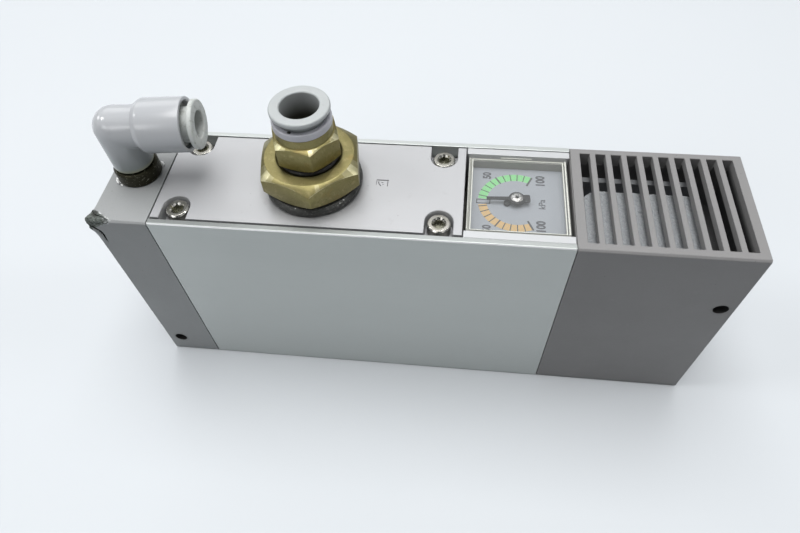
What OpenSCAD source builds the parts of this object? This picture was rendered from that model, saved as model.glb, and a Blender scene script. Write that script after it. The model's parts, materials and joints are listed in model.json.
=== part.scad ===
// Multistage vacuum ejector: extruded body, two end covers, a top suction cover
// with a push-in vacuum port, a swivel push-in elbow for the air supply, a
// compound vacuum gauge and a silencer behind a slotted exhaust cover.
// Millimetres. +X runs from the supply end to the exhaust end, +Z is up, and the
// origin is the centre of the bottom face.

/* [Body] */
// Overall length of body and both covers
body_l = 152.5; // [148:0.5:158]
// Width of the body
body_w = 32; // [32:0.5:34]
// Height of the body without fittings
body_h = 62; // [62:0.5:64]
// Length of the supply-side front cover
front_l = 14; // [14:0.5:16]
// Length of the slotted exhaust cover
exhaust_l = 40.5; // [40.5:0.5:44]
// Chamfer along the long edges of the body
edge = 0.35; // [0.1:0.05:0.6]

/* [Suction cover] */
// Thickness of the suction cover plate
plate_t = 6; // [5.5:0.25:6.5]
// Right end of the plate, from the supply end
plate_x1 = 86.85; // [86:0.05:87]
// Left screw row, from the supply end
screw_x0 = 19.5; // [19:0.5:21]
// Right screw row, from the supply end
screw_x1 = 81.5; // [79:0.5:81.5]
// Half the distance between the screws of one row
screw_y = 10.25; // [10:0.05:10.4]
// Radius of the open notches round the screw heads
notch_r = 3.3; // [3:0.1:3.5]

/* [Vacuum port] */
// Position of the vacuum port, from the supply end
port_x = 50.95; // [48:0.05:54]
// Across flats of the bushing
bush_af = 22; // [21:0.5:23]
// Turn of the bushing hexagon
bush_turn = 7; // [0:1:59]
// Across flats of the push-in fitting
port_af = 14; // [13.5:0.5:14.5]
// Turn of the fitting hexagon
port_turn = 19; // [0:1:59]
// Radius of the tube bore, for 8 mm tube
port_bore_r = 4.27; // [4.1:0.01:4.3]

/* [Supply elbow] */
// Elbow axis, from the supply end
elbow_x = 7; // [7:0.1:7.5]
// Height of the horizontal barrel's axis
elbow_z = 76.7; // [76:0.1:78]
// Direction of the barrel, turned from +X towards +Y
elbow_turn = 6.2; // [-180:0.1:180]
// Radius of the tube bore, for 6 mm tube
elbow_bore_r = 3.07; // [3.05:0.01:3.1]

/* [Gauge] */
// Centre of the gauge spindle, from the supply end
gauge_x = 99.3; // [99:0.1:99.6]
// Height of the dial face
dial_z = 58.5; // [58:0.1:58.6]
// Turn of the pointer from the -X direction towards the front
pointer_turn = 2.5; // [-5:0.5:5]

/* [Exhaust cover] */
// Number of exhaust slots
slots = 10; // [8:1:10]
// Distance between slots
slot_pitch = 3.73; // [3.6:0.01:3.75]
// Width of a slot
slot_w = 2.4; // [2:0.1:2.6]
// Start of the first slot, from the inner face of the cover
slot_x0 = 2.4; // [2.2:0.1:2.6]
// Wall thickness
wall = 2.1; // [1.8:0.1:2.4]

/* [Mounting] */
// Radius of the two cross holes
hole_r = 1.75; // [1.6:0.05:1.8]
// Front hole, from the supply end
hole_x0 = 3.8; // [3.6:0.1:4]
// Front hole, height
hole_z0 = 6.9; // [6.5:0.1:7]
// Rear hole, from the supply end
hole_x1 = 149.25; // [149:0.05:149.4]
// Rear hole, height
hole_z1 = 42.3; // [42:0.1:43]

/* [Ejector] */
// Height of the ejector axis
jet_z = 17; // [17:0.5:18]
// Bore of the ejector chamber, radius
jet_bore = 10.5; // [10:0.1:10.6]
// Nozzle throat radius
throat_0 = 0.6; // [0.4:0.05:0.8]
// First diffuser throat radius
throat_1 = 1.1; // [0.9:0.05:1.3]
// Second diffuser throat radius
throat_2 = 1.7; // [1.4:0.05:1.9]
// Third diffuser throat radius
throat_3 = 2.6; // [2.2:0.1:2.8]

/* [Hidden] */

$fn = 64;
hw = body_w / 2;
ox = -body_l / 2;                 // supply end
xa = ox + front_l;                // front cover to extrusion
xb = ox + body_l - exhaust_l;     // extrusion to exhaust cover
xe = ox + body_l;                 // exhaust end
ext_l = xb - xa;
px = ox + port_x;
ex = ox + elbow_x;
gx = ox + gauge_x;
eps = 0.05;

// section of the extrusion
rail_z0 = 47.5;                   // floor of the channel between the rails
rail_z1 = body_h - plate_t - 0.5; // top of the rails, under the gasket
rail_y = 7.5;                     // half the channel
lip = 1.6;                        // thickness of the two upper walls
plen_z0 = 31;
plen_z1 = 44.5;
plen_y = hw - 2.6;
plate_z0 = body_h - plate_t;
plate_y = hw - 2;

// cover screws: M3, four at each end, the same pattern
cs_lo = [12.2, 12.5];
cs_hi = [11.8, 36.2];
core_r = 1.27;
m3_r = 1.5;
m3_clear = 1.7;
head_r = 2.75;

// ---------- helpers ----------
// box from corner a to corner b
module bx(a, b) { translate(a) cube(b - a); }
// cylinder along X from x0 to x1
module cx(x0, x1, r, y = 0, z = 0) { translate([x0, y, z]) rotate([0, 90, 0]) cylinder(h = x1 - x0, r = r); }
// cylinder along Z
module cz(x, y, z0, z1, r) { translate([x, y, z0]) cylinder(h = z1 - z0, r = r); }
// body of revolution about the ejector axis, from (distance, radius) points
module turned(pts) { translate([ox, 0, jet_z]) rotate([0, 90, 0]) rotate([0, 0, 90]) rotate_extrude($fn = 72) polygon([for (p = pts) [p[1], p[0]]]); }
// body of revolution about a vertical axis, from (radius, height) points
module lathe(x, y, pts, z = 0) { translate([x, y, z]) rotate_extrude($fn = 72) polygon(pts); }
// rectangle with small chamfers, centred on y
module section(w, h, c) {
    polygon([[-w + c, 0], [w - c, 0], [w, c], [w, h - c], [w - c, h], [-w + c, h], [-w, h - c], [-w, c]]);
}
// the body section run along X
module bar(x0, x1, c) { translate([x0, 0, 0]) rotate([90, 0, 90]) linear_extrude(x1 - x0) section(hw, body_h, c); }
module four(p) { for (s = [-1, 1]) translate([0, s * p[0], p[1]]) children(); }
module cover_pattern() { four(cs_lo) children(); four(cs_hi) children(); }
// barrel frame of the elbow: local +X runs along the barrel
module barrel() { translate([ex, 0, elbow_z]) rotate([0, 0, elbow_turn]) rotate([0, 90, 0]) children(); }
// revolved (radius, distance) points along the barrel
module barrel_turned(pts) { barrel() rotate_extrude($fn = 72) polygon(pts); }
// hexagon with turned chamfers above and below
module hexagon(x, y, z0, z1, af, turn, low, high) {
    rv = af / sqrt(3);
    k = tan(30);
    translate([x, y, 0]) intersection() {
        rotate([0, 0, turn + 30]) translate([0, 0, z0]) cylinder(h = z1 - z0, r = rv, $fn = 6);
        rotate_extrude($fn = 72) polygon([
            [0, z0], [low ? af * 0.475 : rv + 1, z0],
            [rv + 1, z0 + (low ? (rv + 1 - af * 0.475) * k : 0)],
            [rv + 1, z1 - (high ? (rv + 1 - af * 0.475) * k : 0)],
            [high ? af * 0.475 : rv + 1, z1], [0, z1]]);
    }
}
// M3 socket cap screw pointing down: head top at z = 0, thread of length l below the head
module cap_screw(l) {
    difference() {
        union() {
            rotate_extrude($fn = 48) polygon([[0, 0], [head_r - 0.3, 0], [head_r, -0.3], [head_r, -3], [m3_r, -3],
                [m3_r, -4], [core_r - 0.04, -4.3], [core_r - 0.04, -3 - l + 0.4], [core_r - 0.5, -3 - l], [0, -3 - l]]);
        }
        translate([0, 0, -1.6]) cylinder(h = 2, r = 2.5 / sqrt(3), $fn = 6);
        translate([0, 0, -0.25]) rotate_extrude($fn = 48) polygon([[0, -0.3], [1.35, -0.3], [1.75, 0.3], [0, 0.3]]);
    }
}

// ---------- casing ----------
module body_extrusion() color([0.72, 0.74, 0.75]) difference() {
    bar(xa, xb, edge);
    // open rebate for the suction cover and gauge
    bx([xa - 1, -hw + lip, rail_z1], [xb + 1, hw - lip, body_h + 1]);
    // channel between the rails
    bx([xa - 1, -rail_y, rail_z0], [xb + 1, rail_y, rail_z1 + 1]);
    // vacuum plenum, with a screw boss in each lower corner
    difference() {
        bx([xa - 1, -plen_y, plen_z0], [xb + 1, plen_y, plen_z1]);
        four(cs_hi) cx(xa - 2, xb + 2, 3.1);
        for (s = [-1, 1]) bx([xa - 2, s > 0 ? cs_hi[0] : -hw, plen_z0 - 1], [xb + 2, s > 0 ? hw : -cs_hi[0], cs_hi[1]]);
        for (s = [-1, 1]) bx([xa - 2, s > 0 ? cs_hi[0] - 3.1 : -cs_hi[0] - 3.1 + 3.1, plen_z0 - 1],
                             [xb + 2, s > 0 ? cs_hi[0] : -cs_hi[0] + 3.1, cs_hi[1]]);
    }
    // round ejector chamber
    cx(xa - 1, xb + 1, jet_bore, 0, jet_z);
    // suction passages from the plenum into the ejector chamber
    for (d = [24, 46, 74]) cz(ox + d, 0, jet_z + 6, plen_z0 + 1, 4);
    // passages from the port chamber into the plenum
    for (d = [24, 36, 51, 66, 78]) cz(ox + d, 0, plen_z1 - 1, rail_z0 + 1, 3);
    // pocket for the gauge
    bx([ox + plate_x1 + 0.15, -hw + lip, rail_z0], [xb + 1, hw - lip, body_h + 1]);
    // gauge stem
    cz(gx, 0, plen_z1 - 1, rail_z0 + 1, 2.55);
    // threaded holes for the suction cover screws
    for (d = [screw_x0, screw_x1]) for (s = [-1, 1]) cz(ox + d, s * screw_y, rail_z1 - 7, rail_z1 + 1, core_r);
    // threaded holes for the cover screws
    cover_pattern() { cx(xa - 1, xa + 12, core_r); cx(xb - 12, xb + 1, core_r); }
}

// gasket outline shared by both covers
module gasket_sheet(x0, x1, r) difference() {
    bx([x0, -hw + 1.5, 1.5], [x1, hw - 1.5, rail_z1 - 0.3]);
    cx(x0 - 1, x1 + 1, r, 0, jet_z);
    cover_pattern() cx(x0 - 1, x1 + 1, 1.9);
}

module front_cover() color([0.56, 0.57, 0.57]) difference() {
    bar(ox, xa, 0.5);
    // supply port: threaded mouth, drop and chamber behind the nozzle
    cz(ex, 0, body_h - 12.5, body_h + 1, 4.9);
    cz(ex, 0, jet_z, body_h - 12, 3);
    cx(ox + 6, xa + 1, 6, 0, jet_z);
    // recess for the gasket
    bx([xa - 0.5, -hw + 1.45, 1.45], [xa + 1, hw - 1.45, rail_z1 - 0.25]);
    // cross hole for mounting
    translate([ox + hole_x0, hw + 1, hole_z0]) rotate([90, 0, 0]) cylinder(h = body_w + 2, r = hole_r);
    // counterbored screw holes
    cover_pattern() { cx(ox - 1, xa + 1, m3_clear); cx(ox - 1, ox + 3.4, 3); }
    // crushed upper front corner
    translate([ox + 5, -hw, body_h]) rotate([0, 24.5, -121.8]) translate([-10, -10, 0]) cube([20, 20, 10]);
}

module exhaust_cover() color([0.55, 0.56, 0.56]) difference() {
    union() {
        difference() {
            bar(xb, xe, 0.5);
            bx([xb + 2.4, -hw + wall, 2.4], [xe - 2, hw - wall, body_h - 2]);
        }
        // tubes for the long cover screws
        intersection() {
            cover_pattern() cx(xb + 1, xe - 1, 3.5);
            bx([xb + 0.5, -hw + 0.5, 1], [xe - 0.5, hw - 0.5, body_h - 1]);
        }
        // tube round the cross hole
        intersection() {
            translate([ox + hole_x1, hw - 1, hole_z1]) rotate([90, 0, 0]) cylinder(h = body_w - 2, r = 3.5);
            bx([xb + 0.5, -hw + 0.5, 1], [xe - 0.5, hw - 0.5, body_h - 1]);
        }
    }
    // exhaust slots
    for (i = [0 : slots - 1]) bx([xb + slot_x0 + i * slot_pitch, -hw + 2.2, body_h - 3.5],
                                 [xb + slot_x0 + i * slot_pitch + slot_w, hw - 2, body_h + 1]);
    // opening for the tail of the last diffuser
    cx(xb - 1, xb + 3, 8.4, 0, jet_z);
    // passages for the exhaust into the upper space
    // recess for the gasket
    bx([xb - 1, -hw + 1.45, 1.45], [xb + 0.5, hw - 1.45, rail_z1 - 0.25]);
    translate([ox + hole_x1, hw + 1, hole_z1]) rotate([90, 0, 0]) cylinder(h = body_w + 2, r = hole_r);
    cover_pattern() { cx(xb - 1, xe + 1, m3_clear); cx(xe - 3.4, xe + 1, 3); }
}

module suction_cover() color([0.82, 0.83, 0.85]) difference() {
    union() {
        bx([xa + 0.15, -plate_y, plate_z0], [ox + plate_x1, plate_y, body_h]);
        // tongue that closes the channel beside the gauge pocket
        bx([ox + plate_x1 - 3, -rail_y + 0.15, rail_z0 + 0.1], [ox + plate_x1, rail_y - 0.15, plate_z0 + 1]);
    }
    cz(px, 0, plate_z0 - 1, body_h + 1, 8.1);
    for (d = [screw_x0, screw_x1]) for (s = [-1, 1]) translate([ox + d, s * screw_y, 0]) {
        cz(0, 0, plate_z0 - 1, body_h + 1, m3_clear);
        cz(0, 0, body_h - 3.5, body_h + 1, notch_r);
        bx([-notch_r, s > 0 ? 0 : -6, body_h - 3.5], [notch_r, s > 0 ? 6 : 0, body_h + 1]);
    }
}

module front_cover_gasket() color([0.12, 0.12, 0.12]) gasket_sheet(xa - 0.5, xa, 7);
module exhaust_cover_gasket() color([0.12, 0.12, 0.12]) gasket_sheet(xb, xb + 0.5, 8.6);
module suction_cover_gasket() color([0.13, 0.13, 0.13]) difference() {
    bx([xa + 0.2, -hw + lip + 0.15, rail_z1], [ox + plate_x1 - 0.05, hw - lip - 0.15, plate_z0]);
    bx([xa + 2, -rail_y + 0.2, rail_z1 - 1], [ox + plate_x1 - 3.2, rail_y - 0.2, plate_z0 + 1]);
    bx([ox + plate_x1 - 3.1, -rail_y + 0.05, rail_z1 - 1], [ox + plate_x1 + 1, rail_y - 0.05, plate_z0 + 1]);
    for (d = [screw_x0, screw_x1]) for (s = [-1, 1]) cz(ox + d, s * screw_y, rail_z1 - 1, plate_z0 + 1, m3_clear);
}

module suction_cover_screws() color([0.55, 0.54, 0.52])
    for (d = [screw_x0, screw_x1]) for (s = [-1, 1])
        translate([ox + d, s * screw_y, body_h - 0.5]) rotate([0, 0, 17 * s + d]) cap_screw(9);
module front_cover_screws() color([0.55, 0.54, 0.52])
    cover_pattern() translate([ox + 0.4, 0, 0]) rotate([0, -90, 0]) cap_screw(20);
module exhaust_cover_screws() color([0.55, 0.54, 0.52])
    cover_pattern() translate([xe - 0.4, 0, 0]) rotate([0, 90, 0]) cap_screw(46);

// ---------- vacuum port ----------
bush_z0 = body_h + 2.5;
bush_z1 = body_h + 9.4;
nut_z0 = body_h + 10.2;
nut_z1 = body_h + 16.3;
collar_z = body_h + 18.6;
ring_z = body_h + 20.3;

module port_bushing() color([0.66, 0.58, 0.33]) difference() {
    union() {
        hexagon(px, 0, bush_z0, bush_z1, bush_af, bush_turn, true, true);
        cz(px, 0, plate_z0, bush_z0 + 0.5, 8.05);
    }
    cz(px, 0, plate_z0 - 1, bush_z1 + 1, 5.95);
    lathe(px, 0, [[0, bush_z1 - 1.7], [5.95, bush_z1 - 1.7], [7.7, bush_z1], [7.7, bush_z1 + 1], [0, bush_z1 + 1]]);
}
module port_seal_washer() color([0.32, 0.32, 0.33]) difference() {
    lathe(px, 0, [[8.2, body_h], [11.75, body_h], [11.9, body_h + 0.5], [11.9, body_h + 1.9], [11.4, body_h + 2.5], [8.2, body_h + 2.5]]);
}
module port_fitting_body() color([0.64, 0.55, 0.28]) difference() {
    union() {
        cz(px, 0, body_h + 1, nut_z0 + 0.2, 5.9);
        hexagon(px, 0, nut_z0, nut_z1, port_af, port_turn, true, true);
        lathe(px, 0, [[0, nut_z1 - 0.5], [6.45, nut_z1 - 0.5], [6.45, collar_z - 0.2], [6.25, collar_z], [0, collar_z]]);
    }
    cz(px, 0, body_h, nut_z0 + 1, 3.3);
    cz(px, 0, nut_z0 + 0.3, collar_z + 1, 5.75);
}
module port_fitting_seal() color([0.08, 0.08, 0.08])
    translate([px, 0, bush_z1 - 0.05]) rotate_extrude($fn = 72) translate([6.5, 0]) circle(r = 0.58, $fn = 24);
module port_fitting_guide() color([0.80, 0.81, 0.83])
    lathe(px, 0, [[5.30, nut_z1 - 0.6], [5.70, nut_z1 - 0.6], [5.70, collar_z], [6.60, collar_z], [6.60, ring_z - 0.25], [6.40, ring_z], [5.30, ring_z]]);
module port_collet() color([0.74, 0.74, 0.72])
    lathe(px, 0, [[4.15, body_h + 12.9], [5.70, body_h + 12.9], [5.70, body_h + 13.6], [5.30, body_h + 13.6], [4.25, body_h + 13.1]]);
module port_tube_seal() color([0.10, 0.10, 0.10])
    lathe(px, 0, [[4.05, body_h + 11.6], [4.30, body_h + 10.7], [5.70, body_h + 10.7], [5.70, body_h + 12.7], [4.30, body_h + 12.7], [4.05, body_h + 12.1]]);
module port_release_button() color([0.83, 0.84, 0.86])
    lathe(px, 0, [[port_bore_r, body_h + 15.0], [5.22, body_h + 15.0], [5.22, body_h + 22.0], [6.35, body_h + 22.0], [6.63, body_h + 22.25],
        [6.63, body_h + 22.85], [6.35, body_h + 23.1], [port_bore_r + 0.35, body_h + 23.1], [port_bore_r, body_h + 22.75]]);

// ---------- supply elbow ----------
module elbow_stud() color([0.36, 0.32, 0.20]) lathe(ex, 0, [
    [2.2, body_h - 11], [4.6, body_h - 11], [4.85, body_h - 10.6], [4.85, body_h], [5.35, body_h], [5.55, body_h + 0.3],
    [5.55, body_h + 3.3], [5.2, body_h + 3.8], [3.6, body_h + 3.8], [3.6, body_h + 6.6], [2.75, body_h + 6.6],
    [2.75, body_h + 8.2], [3.6, body_h + 8.2], [3.6, body_h + 11.6], [3.3, body_h + 12], [2.2, body_h + 12]]);
module elbow_stud_seal() color([0.08, 0.08, 0.08]) lathe(ex, 0, [
    [2.8, body_h + 6.7], [3.45, body_h + 6.7], [3.62, body_h + 7.1], [3.62, body_h + 7.7], [3.45, body_h + 8.1], [2.8, body_h + 8.1]]);
module elbow_body() color([0.82, 0.83, 0.85]) difference() {
    union() {
        lathe(ex, 0, [[0, body_h + 4.1], [4.95, body_h + 4.1], [5.18, body_h + 4.4], [5.18, elbow_z], [0, elbow_z]]);
        translate([ex, 0, elbow_z]) sphere(r = 5.25, $fn = 64);
        barrel_turned([[0, 0], [4.9, 0], [4.9, 7], [0, 7]]);
        barrel_turned([[0, 5.9], [4.8, 5.9], [5.25, 6.0], [5.65, 6.3], [5.95, 6.8], [6.1, 7.5], [6.1, 16.2], [5.85, 16.6], [0, 16.6]]);
    }
    cz(ex, 0, body_h + 4, body_h + 12.5, 3.66);
    cz(ex, 0, body_h + 12, elbow_z + 0.4, 2.2);
    barrel_turned([[0, -2.9], [2.4, -2.9], [2.4, 9.1], [0, 9.1]]);
    barrel_turned([[0, 9], [4.6, 9], [4.6, 12.6], [5.3, 12.6], [5.3, 17], [0, 17]]);
}
module elbow_guide() color([0.62, 0.62, 0.60]) barrel_turned([[4.10, 12.65], [5.25, 12.65], [5.25, 15.2], [4.6, 15.4], [4.10, 15.0]]);
module elbow_collet() color([0.74, 0.74, 0.72]) barrel_turned([[3.05, 11.25], [4.55, 11.25], [4.55, 12.0], [4.2, 12.0], [3.1, 11.5]]);
module elbow_tube_seal() color([0.10, 0.10, 0.10]) barrel_turned([[2.95, 10.0], [3.15, 9.2], [4.55, 9.2], [4.55, 11.1], [3.15, 11.1], [2.95, 10.5]]);
module elbow_release_button() color([0.80, 0.81, 0.82]) barrel_turned([
    [elbow_bore_r, 13.4], [4.02, 13.4], [4.02, 17.95], [5.35, 18.1], [5.63, 18.35], [5.63, 19.0], [5.35, 19.27],
    [elbow_bore_r + 0.35, 19.27], [elbow_bore_r, 18.95]]);

// ---------- gauge ----------
gx0 = ox + 87.2;
gx1 = ox + 111.8;
gy = 12.05;
module gauge_bracket() color([0.86, 0.87, 0.88]) difference() {
    union() {
        bx([gx0 - 0.1, -14.25, rail_z0], [gx1 + 0.1, 14.25, rail_z0 + 1.5]);
        for (s = [-1, 1]) bx([gx0 - 0.1, s > 0 ? 12.25 : -14.25, rail_z0], [gx1 + 0.1, s > 0 ? 14.25 : -12.25, body_h - 0.15]);
    }
    cz(gx, 0, rail_z0 - 1, rail_z0 + 3, 2.6);
}
module gauge_case() color([0.78, 0.79, 0.74]) difference() {
    bx([gx0, -gy, rail_z0 + 1.6], [gx1, gy, body_h - 1.2]);
    bx([gx0 + 1.1, -gy + 1.0, rail_z0 + 3.0], [gx1 - 1.1, gy - 1.0, body_h]);
    cz(gx, 0, rail_z0, rail_z0 + 4, 2.6);
}
module gauge_lens() color([0.92, 0.94, 0.92, 0.3]) difference() {
    union() {
        bx([gx0, -gy, body_h - 1.15], [gx1, gy, body_h - 0.6]);
        bx([gx0 + 0.6, -gy + 0.6, body_h - 1.15], [gx1 - 0.6, gy - 0.6, body_h - 0.1]);
    }
    bx([gx0 + 1.3, -gy + 1.3, body_h - 2], [gx1 - 1.3, gy - 1.3, body_h - 0.9]);
}
module gauge_dial() color([0.75, 0.77, 0.82]) difference() {
    bx([gx0 + 1.2, -gy + 1.1, dial_z - 0.4], [gx1 - 1.2, gy - 1.1, dial_z]);
    cz(gx, 0, dial_z - 1, dial_z + 1, 1.0);
}
module gauge_stop_pin() color([0.08, 0.08, 0.08]) cz(gx - 2.15, -0.7, dial_z, dial_z + 0.7, 0.7);
module gauge_pointer() color([0.06, 0.06, 0.06]) translate([gx, 0, dial_z + 1.2]) rotate([0, 0, pointer_turn]) linear_extrude(0.3) difference() {
    union() {
        circle(r = 1.9);
        polygon([[-7.1, -0.28], [-7.1, 0.28], [0, 0.42], [0, -0.42]]);
        polygon([[0, -0.95], [0, 0.95], [2.2, 1.15], [3.15, 1.15], [3.15, -1.15], [2.2, -1.15]]);
    }
    circle(r = 0.6);
}
module gauge_arbor() color([0.78, 0.78, 0.78]) lathe(gx, 0, [
    [0, rail_z0 + 4.2], [0.3, rail_z0 + 4.5], [0.6, rail_z0 + 4.7], [0.6, dial_z + 1.5], [1.5, dial_z + 1.5], [1.45, dial_z + 1.75], [1.1, dial_z + 1.95], [0.45, dial_z + 2.05], [0, dial_z + 1.9]]);
module gauge_bridge() color([0.72, 0.64, 0.40]) difference() {
    union() {
        cz(gx, 0, dial_z - 1.4, dial_z - 0.7, 8.8);
        for (a = [30, 150, 270]) cz(gx + 8 * cos(a), 8 * sin(a), rail_z0 + 3.0, dial_z - 1, 0.7);
    }
    cz(gx, 0, dial_z - 2, dial_z, 0.66);
}
// flat spiral tube made of half rings with alternating centres
sp_z0 = rail_z0 + 5;
sp_z1 = rail_z0 + 8.2;
sp_t = 0.6;
module half_ring(r, side) intersection() {
    difference() { circle(r = r + sp_t / 2); circle(r = r - sp_t / 2); }
    translate([-r - 1, side > 0 ? 0 : -r - 1]) square([2 * r + 2, r + 1]);
}
module gauge_spiral_tube() color([0.70, 0.60, 0.32]) translate([gx, 0, sp_z0]) linear_extrude(sp_z1 - sp_z0) union() {
    for (i = [0 : 4]) translate([i % 2 == 0 ? 0 : -0.5, 0]) half_ring(1.6 + i * 1.0 + (i % 2 == 0 ? 0 : 0.0), i % 2 == 0 ? 1 : -1);
}
module gauge_stem() color([0.68, 0.60, 0.34]) difference() {
    union() {
        cz(gx, 0, plen_z1 - 2, rail_z0 + 3.1, 2.45);
        cz(gx, 0, rail_z0 + 3.0, rail_z0 + 3.8, 3.4);
        bx([gx - 6.6, -0.9, rail_z0 + 3.0], [gx, 0.9, rail_z0 + 3.8]);
        bx([gx - 6.6, -0.9, rail_z0 + 3.0], [gx - 5.2, 0.9, sp_z0]);
    }
    cz(gx, 0, plen_z1 - 3, rail_z0 + 3.4, 0.8);
    lathe(gx, 0, [[1.6, plen_z1 + 0.9], [3, plen_z1 + 0.9], [3, plen_z1 + 2.3], [1.6, plen_z1 + 2.3]]);
}
module gauge_stem_seal() color([0.08, 0.08, 0.08])
    translate([gx, 0, plen_z1 + 1.6]) rotate_extrude($fn = 48) translate([2.08, 0]) circle(r = 0.44, $fn = 20);

// ---------- ejector cartridge ----------
module nozzle() color([0.72, 0.62, 0.34]) turned([
    [11.0, 3.0], [11.0, 5.6], [11.2, 5.9], [12.0, 5.9], [12.0, 4.9], [13.4, 4.9], [13.4, 5.9], [14.0, 5.9], [14.0, 10.3],
    [16.4, 10.3], [16.4, 6.6], [17.2, 6.6], [19, 4.4], [28, 2.6], [29, 1.5], [29, 0.9], [26, throat_0], [24.5, throat_0], [21, 1.6], [17, 3.0]]);
module nozzle_seal() color([0.08, 0.08, 0.08]) translate([ox + 12.7, 0, jet_z]) rotate([0, 90, 0])
    rotate_extrude($fn = 64) translate([5.42, 0]) circle(r = 0.5, $fn = 20);
module cage_windows(d0, d1) for (a = [45, 135, 225, 315]) translate([ox, 0, jet_z]) rotate([a, 0, 0])
    bx([d0, -3.2, 4], [d1, 3.2, 10]);
module diffuser_1() color([0.85, 0.85, 0.82]) difference() {
    turned([[16.5, 6.7], [16.5, 8.6], [36.0, 8.6], [36.0, 6.8], [37.5, 6.8], [37.5, 5.2], [48, 3.4], [48, 1.7], [41, throat_1], [35, throat_1],
        [31, 3.6], [30, 6.7]]);
    cage_windows(20, 28);
}
module diffuser_2() color([0.85, 0.85, 0.82]) difference() {
    turned([[36.1, 6.9], [36.1, 8.6], [64.0, 8.6], [64.0, 6.8], [65.5, 6.8], [65.5, 5.6], [76, 4.2], [76, 2.6], [69, throat_2], [62, throat_2],
        [56, 4.6], [55, 6.9]]);
    cage_windows(42, 50);
}
module diffuser_3() color([0.85, 0.85, 0.82]) difference() {
    turned([[64.1, 6.9], [64.1, 8.6], [104, 8.6], [104, 10.3], [106, 10.3], [106, 9.2], [107.8, 9.2], [107.8, 10.3], [110, 10.3], [110, 8.2],
        [116, 8.2], [116, 5.0], [98, throat_3], [90, throat_3], [84, 5.4], [83, 6.9]]);
    cage_windows(70, 78);
}
module diffuser_seal() color([0.08, 0.08, 0.08]) translate([ox + 106.9, 0, jet_z]) rotate([0, 90, 0])
    rotate_extrude($fn = 64) translate([9.84, 0]) circle(r = 0.6, $fn = 20);
module check_flap_2() color([0.16, 0.16, 0.16]) turned([[40.4, 6.3], [40.4, 6.85], [51.6, 6.85], [51.6, 6.3]]);
module check_flap_3() color([0.16, 0.16, 0.16]) turned([[68.4, 6.3], [68.4, 6.85], [79.6, 6.85], [79.6, 6.3]]);

// ---------- suction filter ----------
module filter_holder() color([0.88, 0.88, 0.85]) difference() {
    bx([ox + 26, -rail_y + 0.15, rail_z0], [ox + 76, rail_y - 0.15, rail_z1 - 0.2]);
    bx([ox + 27, -rail_y + 1.0, rail_z0 + 0.9], [ox + 75, rail_y - 1.0, rail_z1 + 1]);
    for (i = [0 : 8]) bx([ox + 29 + i * 5.1, -5, rail_z0 - 1], [ox + 32 + i * 5.1, 5, rail_z0 + 2]);
}
module suction_filter() color([0.90, 0.90, 0.88])
    bx([ox + 27.1, -rail_y + 1.1, rail_z0 + 0.9], [ox + 74.9, rail_y - 1.1, rail_z0 + 5.4]);

// ---------- silencer ----------
module silencer_felt() color([0.58, 0.59, 0.60])
    bx([xb + 2.6, -hw + wall + 0.15, 41.1], [xb + 29.2, 5.5, body_h - 3.5]);
module silencer_baffle() color([0.36, 0.37, 0.38]) difference() {
    union() {
        bx([xb + 2.5, -hw + wall + 0.1, 40.2], [xb + 29.3, 9.9, 41.1]);
        bx([xb + 2.5, 8.4, 40.2], [xb + 29.3, 9.9, body_h - 4]);
    }
    for (i = [0 : 4]) for (j = [-2 : 1]) cz(xb + 6 + i * 5, -1.5 + j * 4, 39, 42, 1.2);
}

body_extrusion();
front_cover();
exhaust_cover();
suction_cover();
front_cover_gasket();
exhaust_cover_gasket();
suction_cover_gasket();
suction_cover_screws();
front_cover_screws();
exhaust_cover_screws();
port_bushing();
port_seal_washer();
port_fitting_body();
port_fitting_seal();
port_fitting_guide();
port_collet();
port_tube_seal();
port_release_button();
elbow_stud();
elbow_stud_seal();
elbow_body();
elbow_guide();
elbow_collet();
elbow_tube_seal();
elbow_release_button();
gauge_bracket();
gauge_case();
gauge_lens();
gauge_dial();
gauge_stop_pin();
gauge_pointer();
gauge_arbor();
gauge_bridge();
gauge_spiral_tube();
gauge_stem();
gauge_stem_seal();
nozzle();
nozzle_seal();
diffuser_1();
diffuser_2();
diffuser_3();
diffuser_seal();
check_flap_2();
check_flap_3();
filter_holder();
suction_filter();
silencer_felt();
silencer_baffle();
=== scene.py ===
import bpy
import bmesh
import json
import math
import random
from mathutils import Vector, Matrix, noise

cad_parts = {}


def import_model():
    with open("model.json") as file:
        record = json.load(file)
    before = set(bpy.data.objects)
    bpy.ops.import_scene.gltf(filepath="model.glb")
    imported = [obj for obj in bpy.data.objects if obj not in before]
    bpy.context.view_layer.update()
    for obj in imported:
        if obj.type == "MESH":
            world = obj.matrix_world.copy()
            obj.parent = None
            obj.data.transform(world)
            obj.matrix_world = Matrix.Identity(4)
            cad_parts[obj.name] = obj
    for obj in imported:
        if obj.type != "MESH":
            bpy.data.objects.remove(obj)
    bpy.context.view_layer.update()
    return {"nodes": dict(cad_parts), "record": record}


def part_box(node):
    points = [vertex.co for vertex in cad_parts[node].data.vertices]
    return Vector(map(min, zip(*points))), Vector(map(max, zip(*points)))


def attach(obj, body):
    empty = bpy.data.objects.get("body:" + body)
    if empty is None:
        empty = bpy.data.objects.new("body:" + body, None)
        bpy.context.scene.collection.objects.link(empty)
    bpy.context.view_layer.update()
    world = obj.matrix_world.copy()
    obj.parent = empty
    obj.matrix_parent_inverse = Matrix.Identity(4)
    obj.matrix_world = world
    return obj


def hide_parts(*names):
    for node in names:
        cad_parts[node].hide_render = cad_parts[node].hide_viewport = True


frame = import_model()
nodes = frame["nodes"]


scene = bpy.context.scene
coll = scene.collection
I4 = Matrix.Identity(4)
MM = 0.001


# ------------------------------------------------------------------ places, in millimetres
def mm_box(node):
    lo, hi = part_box(node)
    return lo / MM, hi / MM


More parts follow.
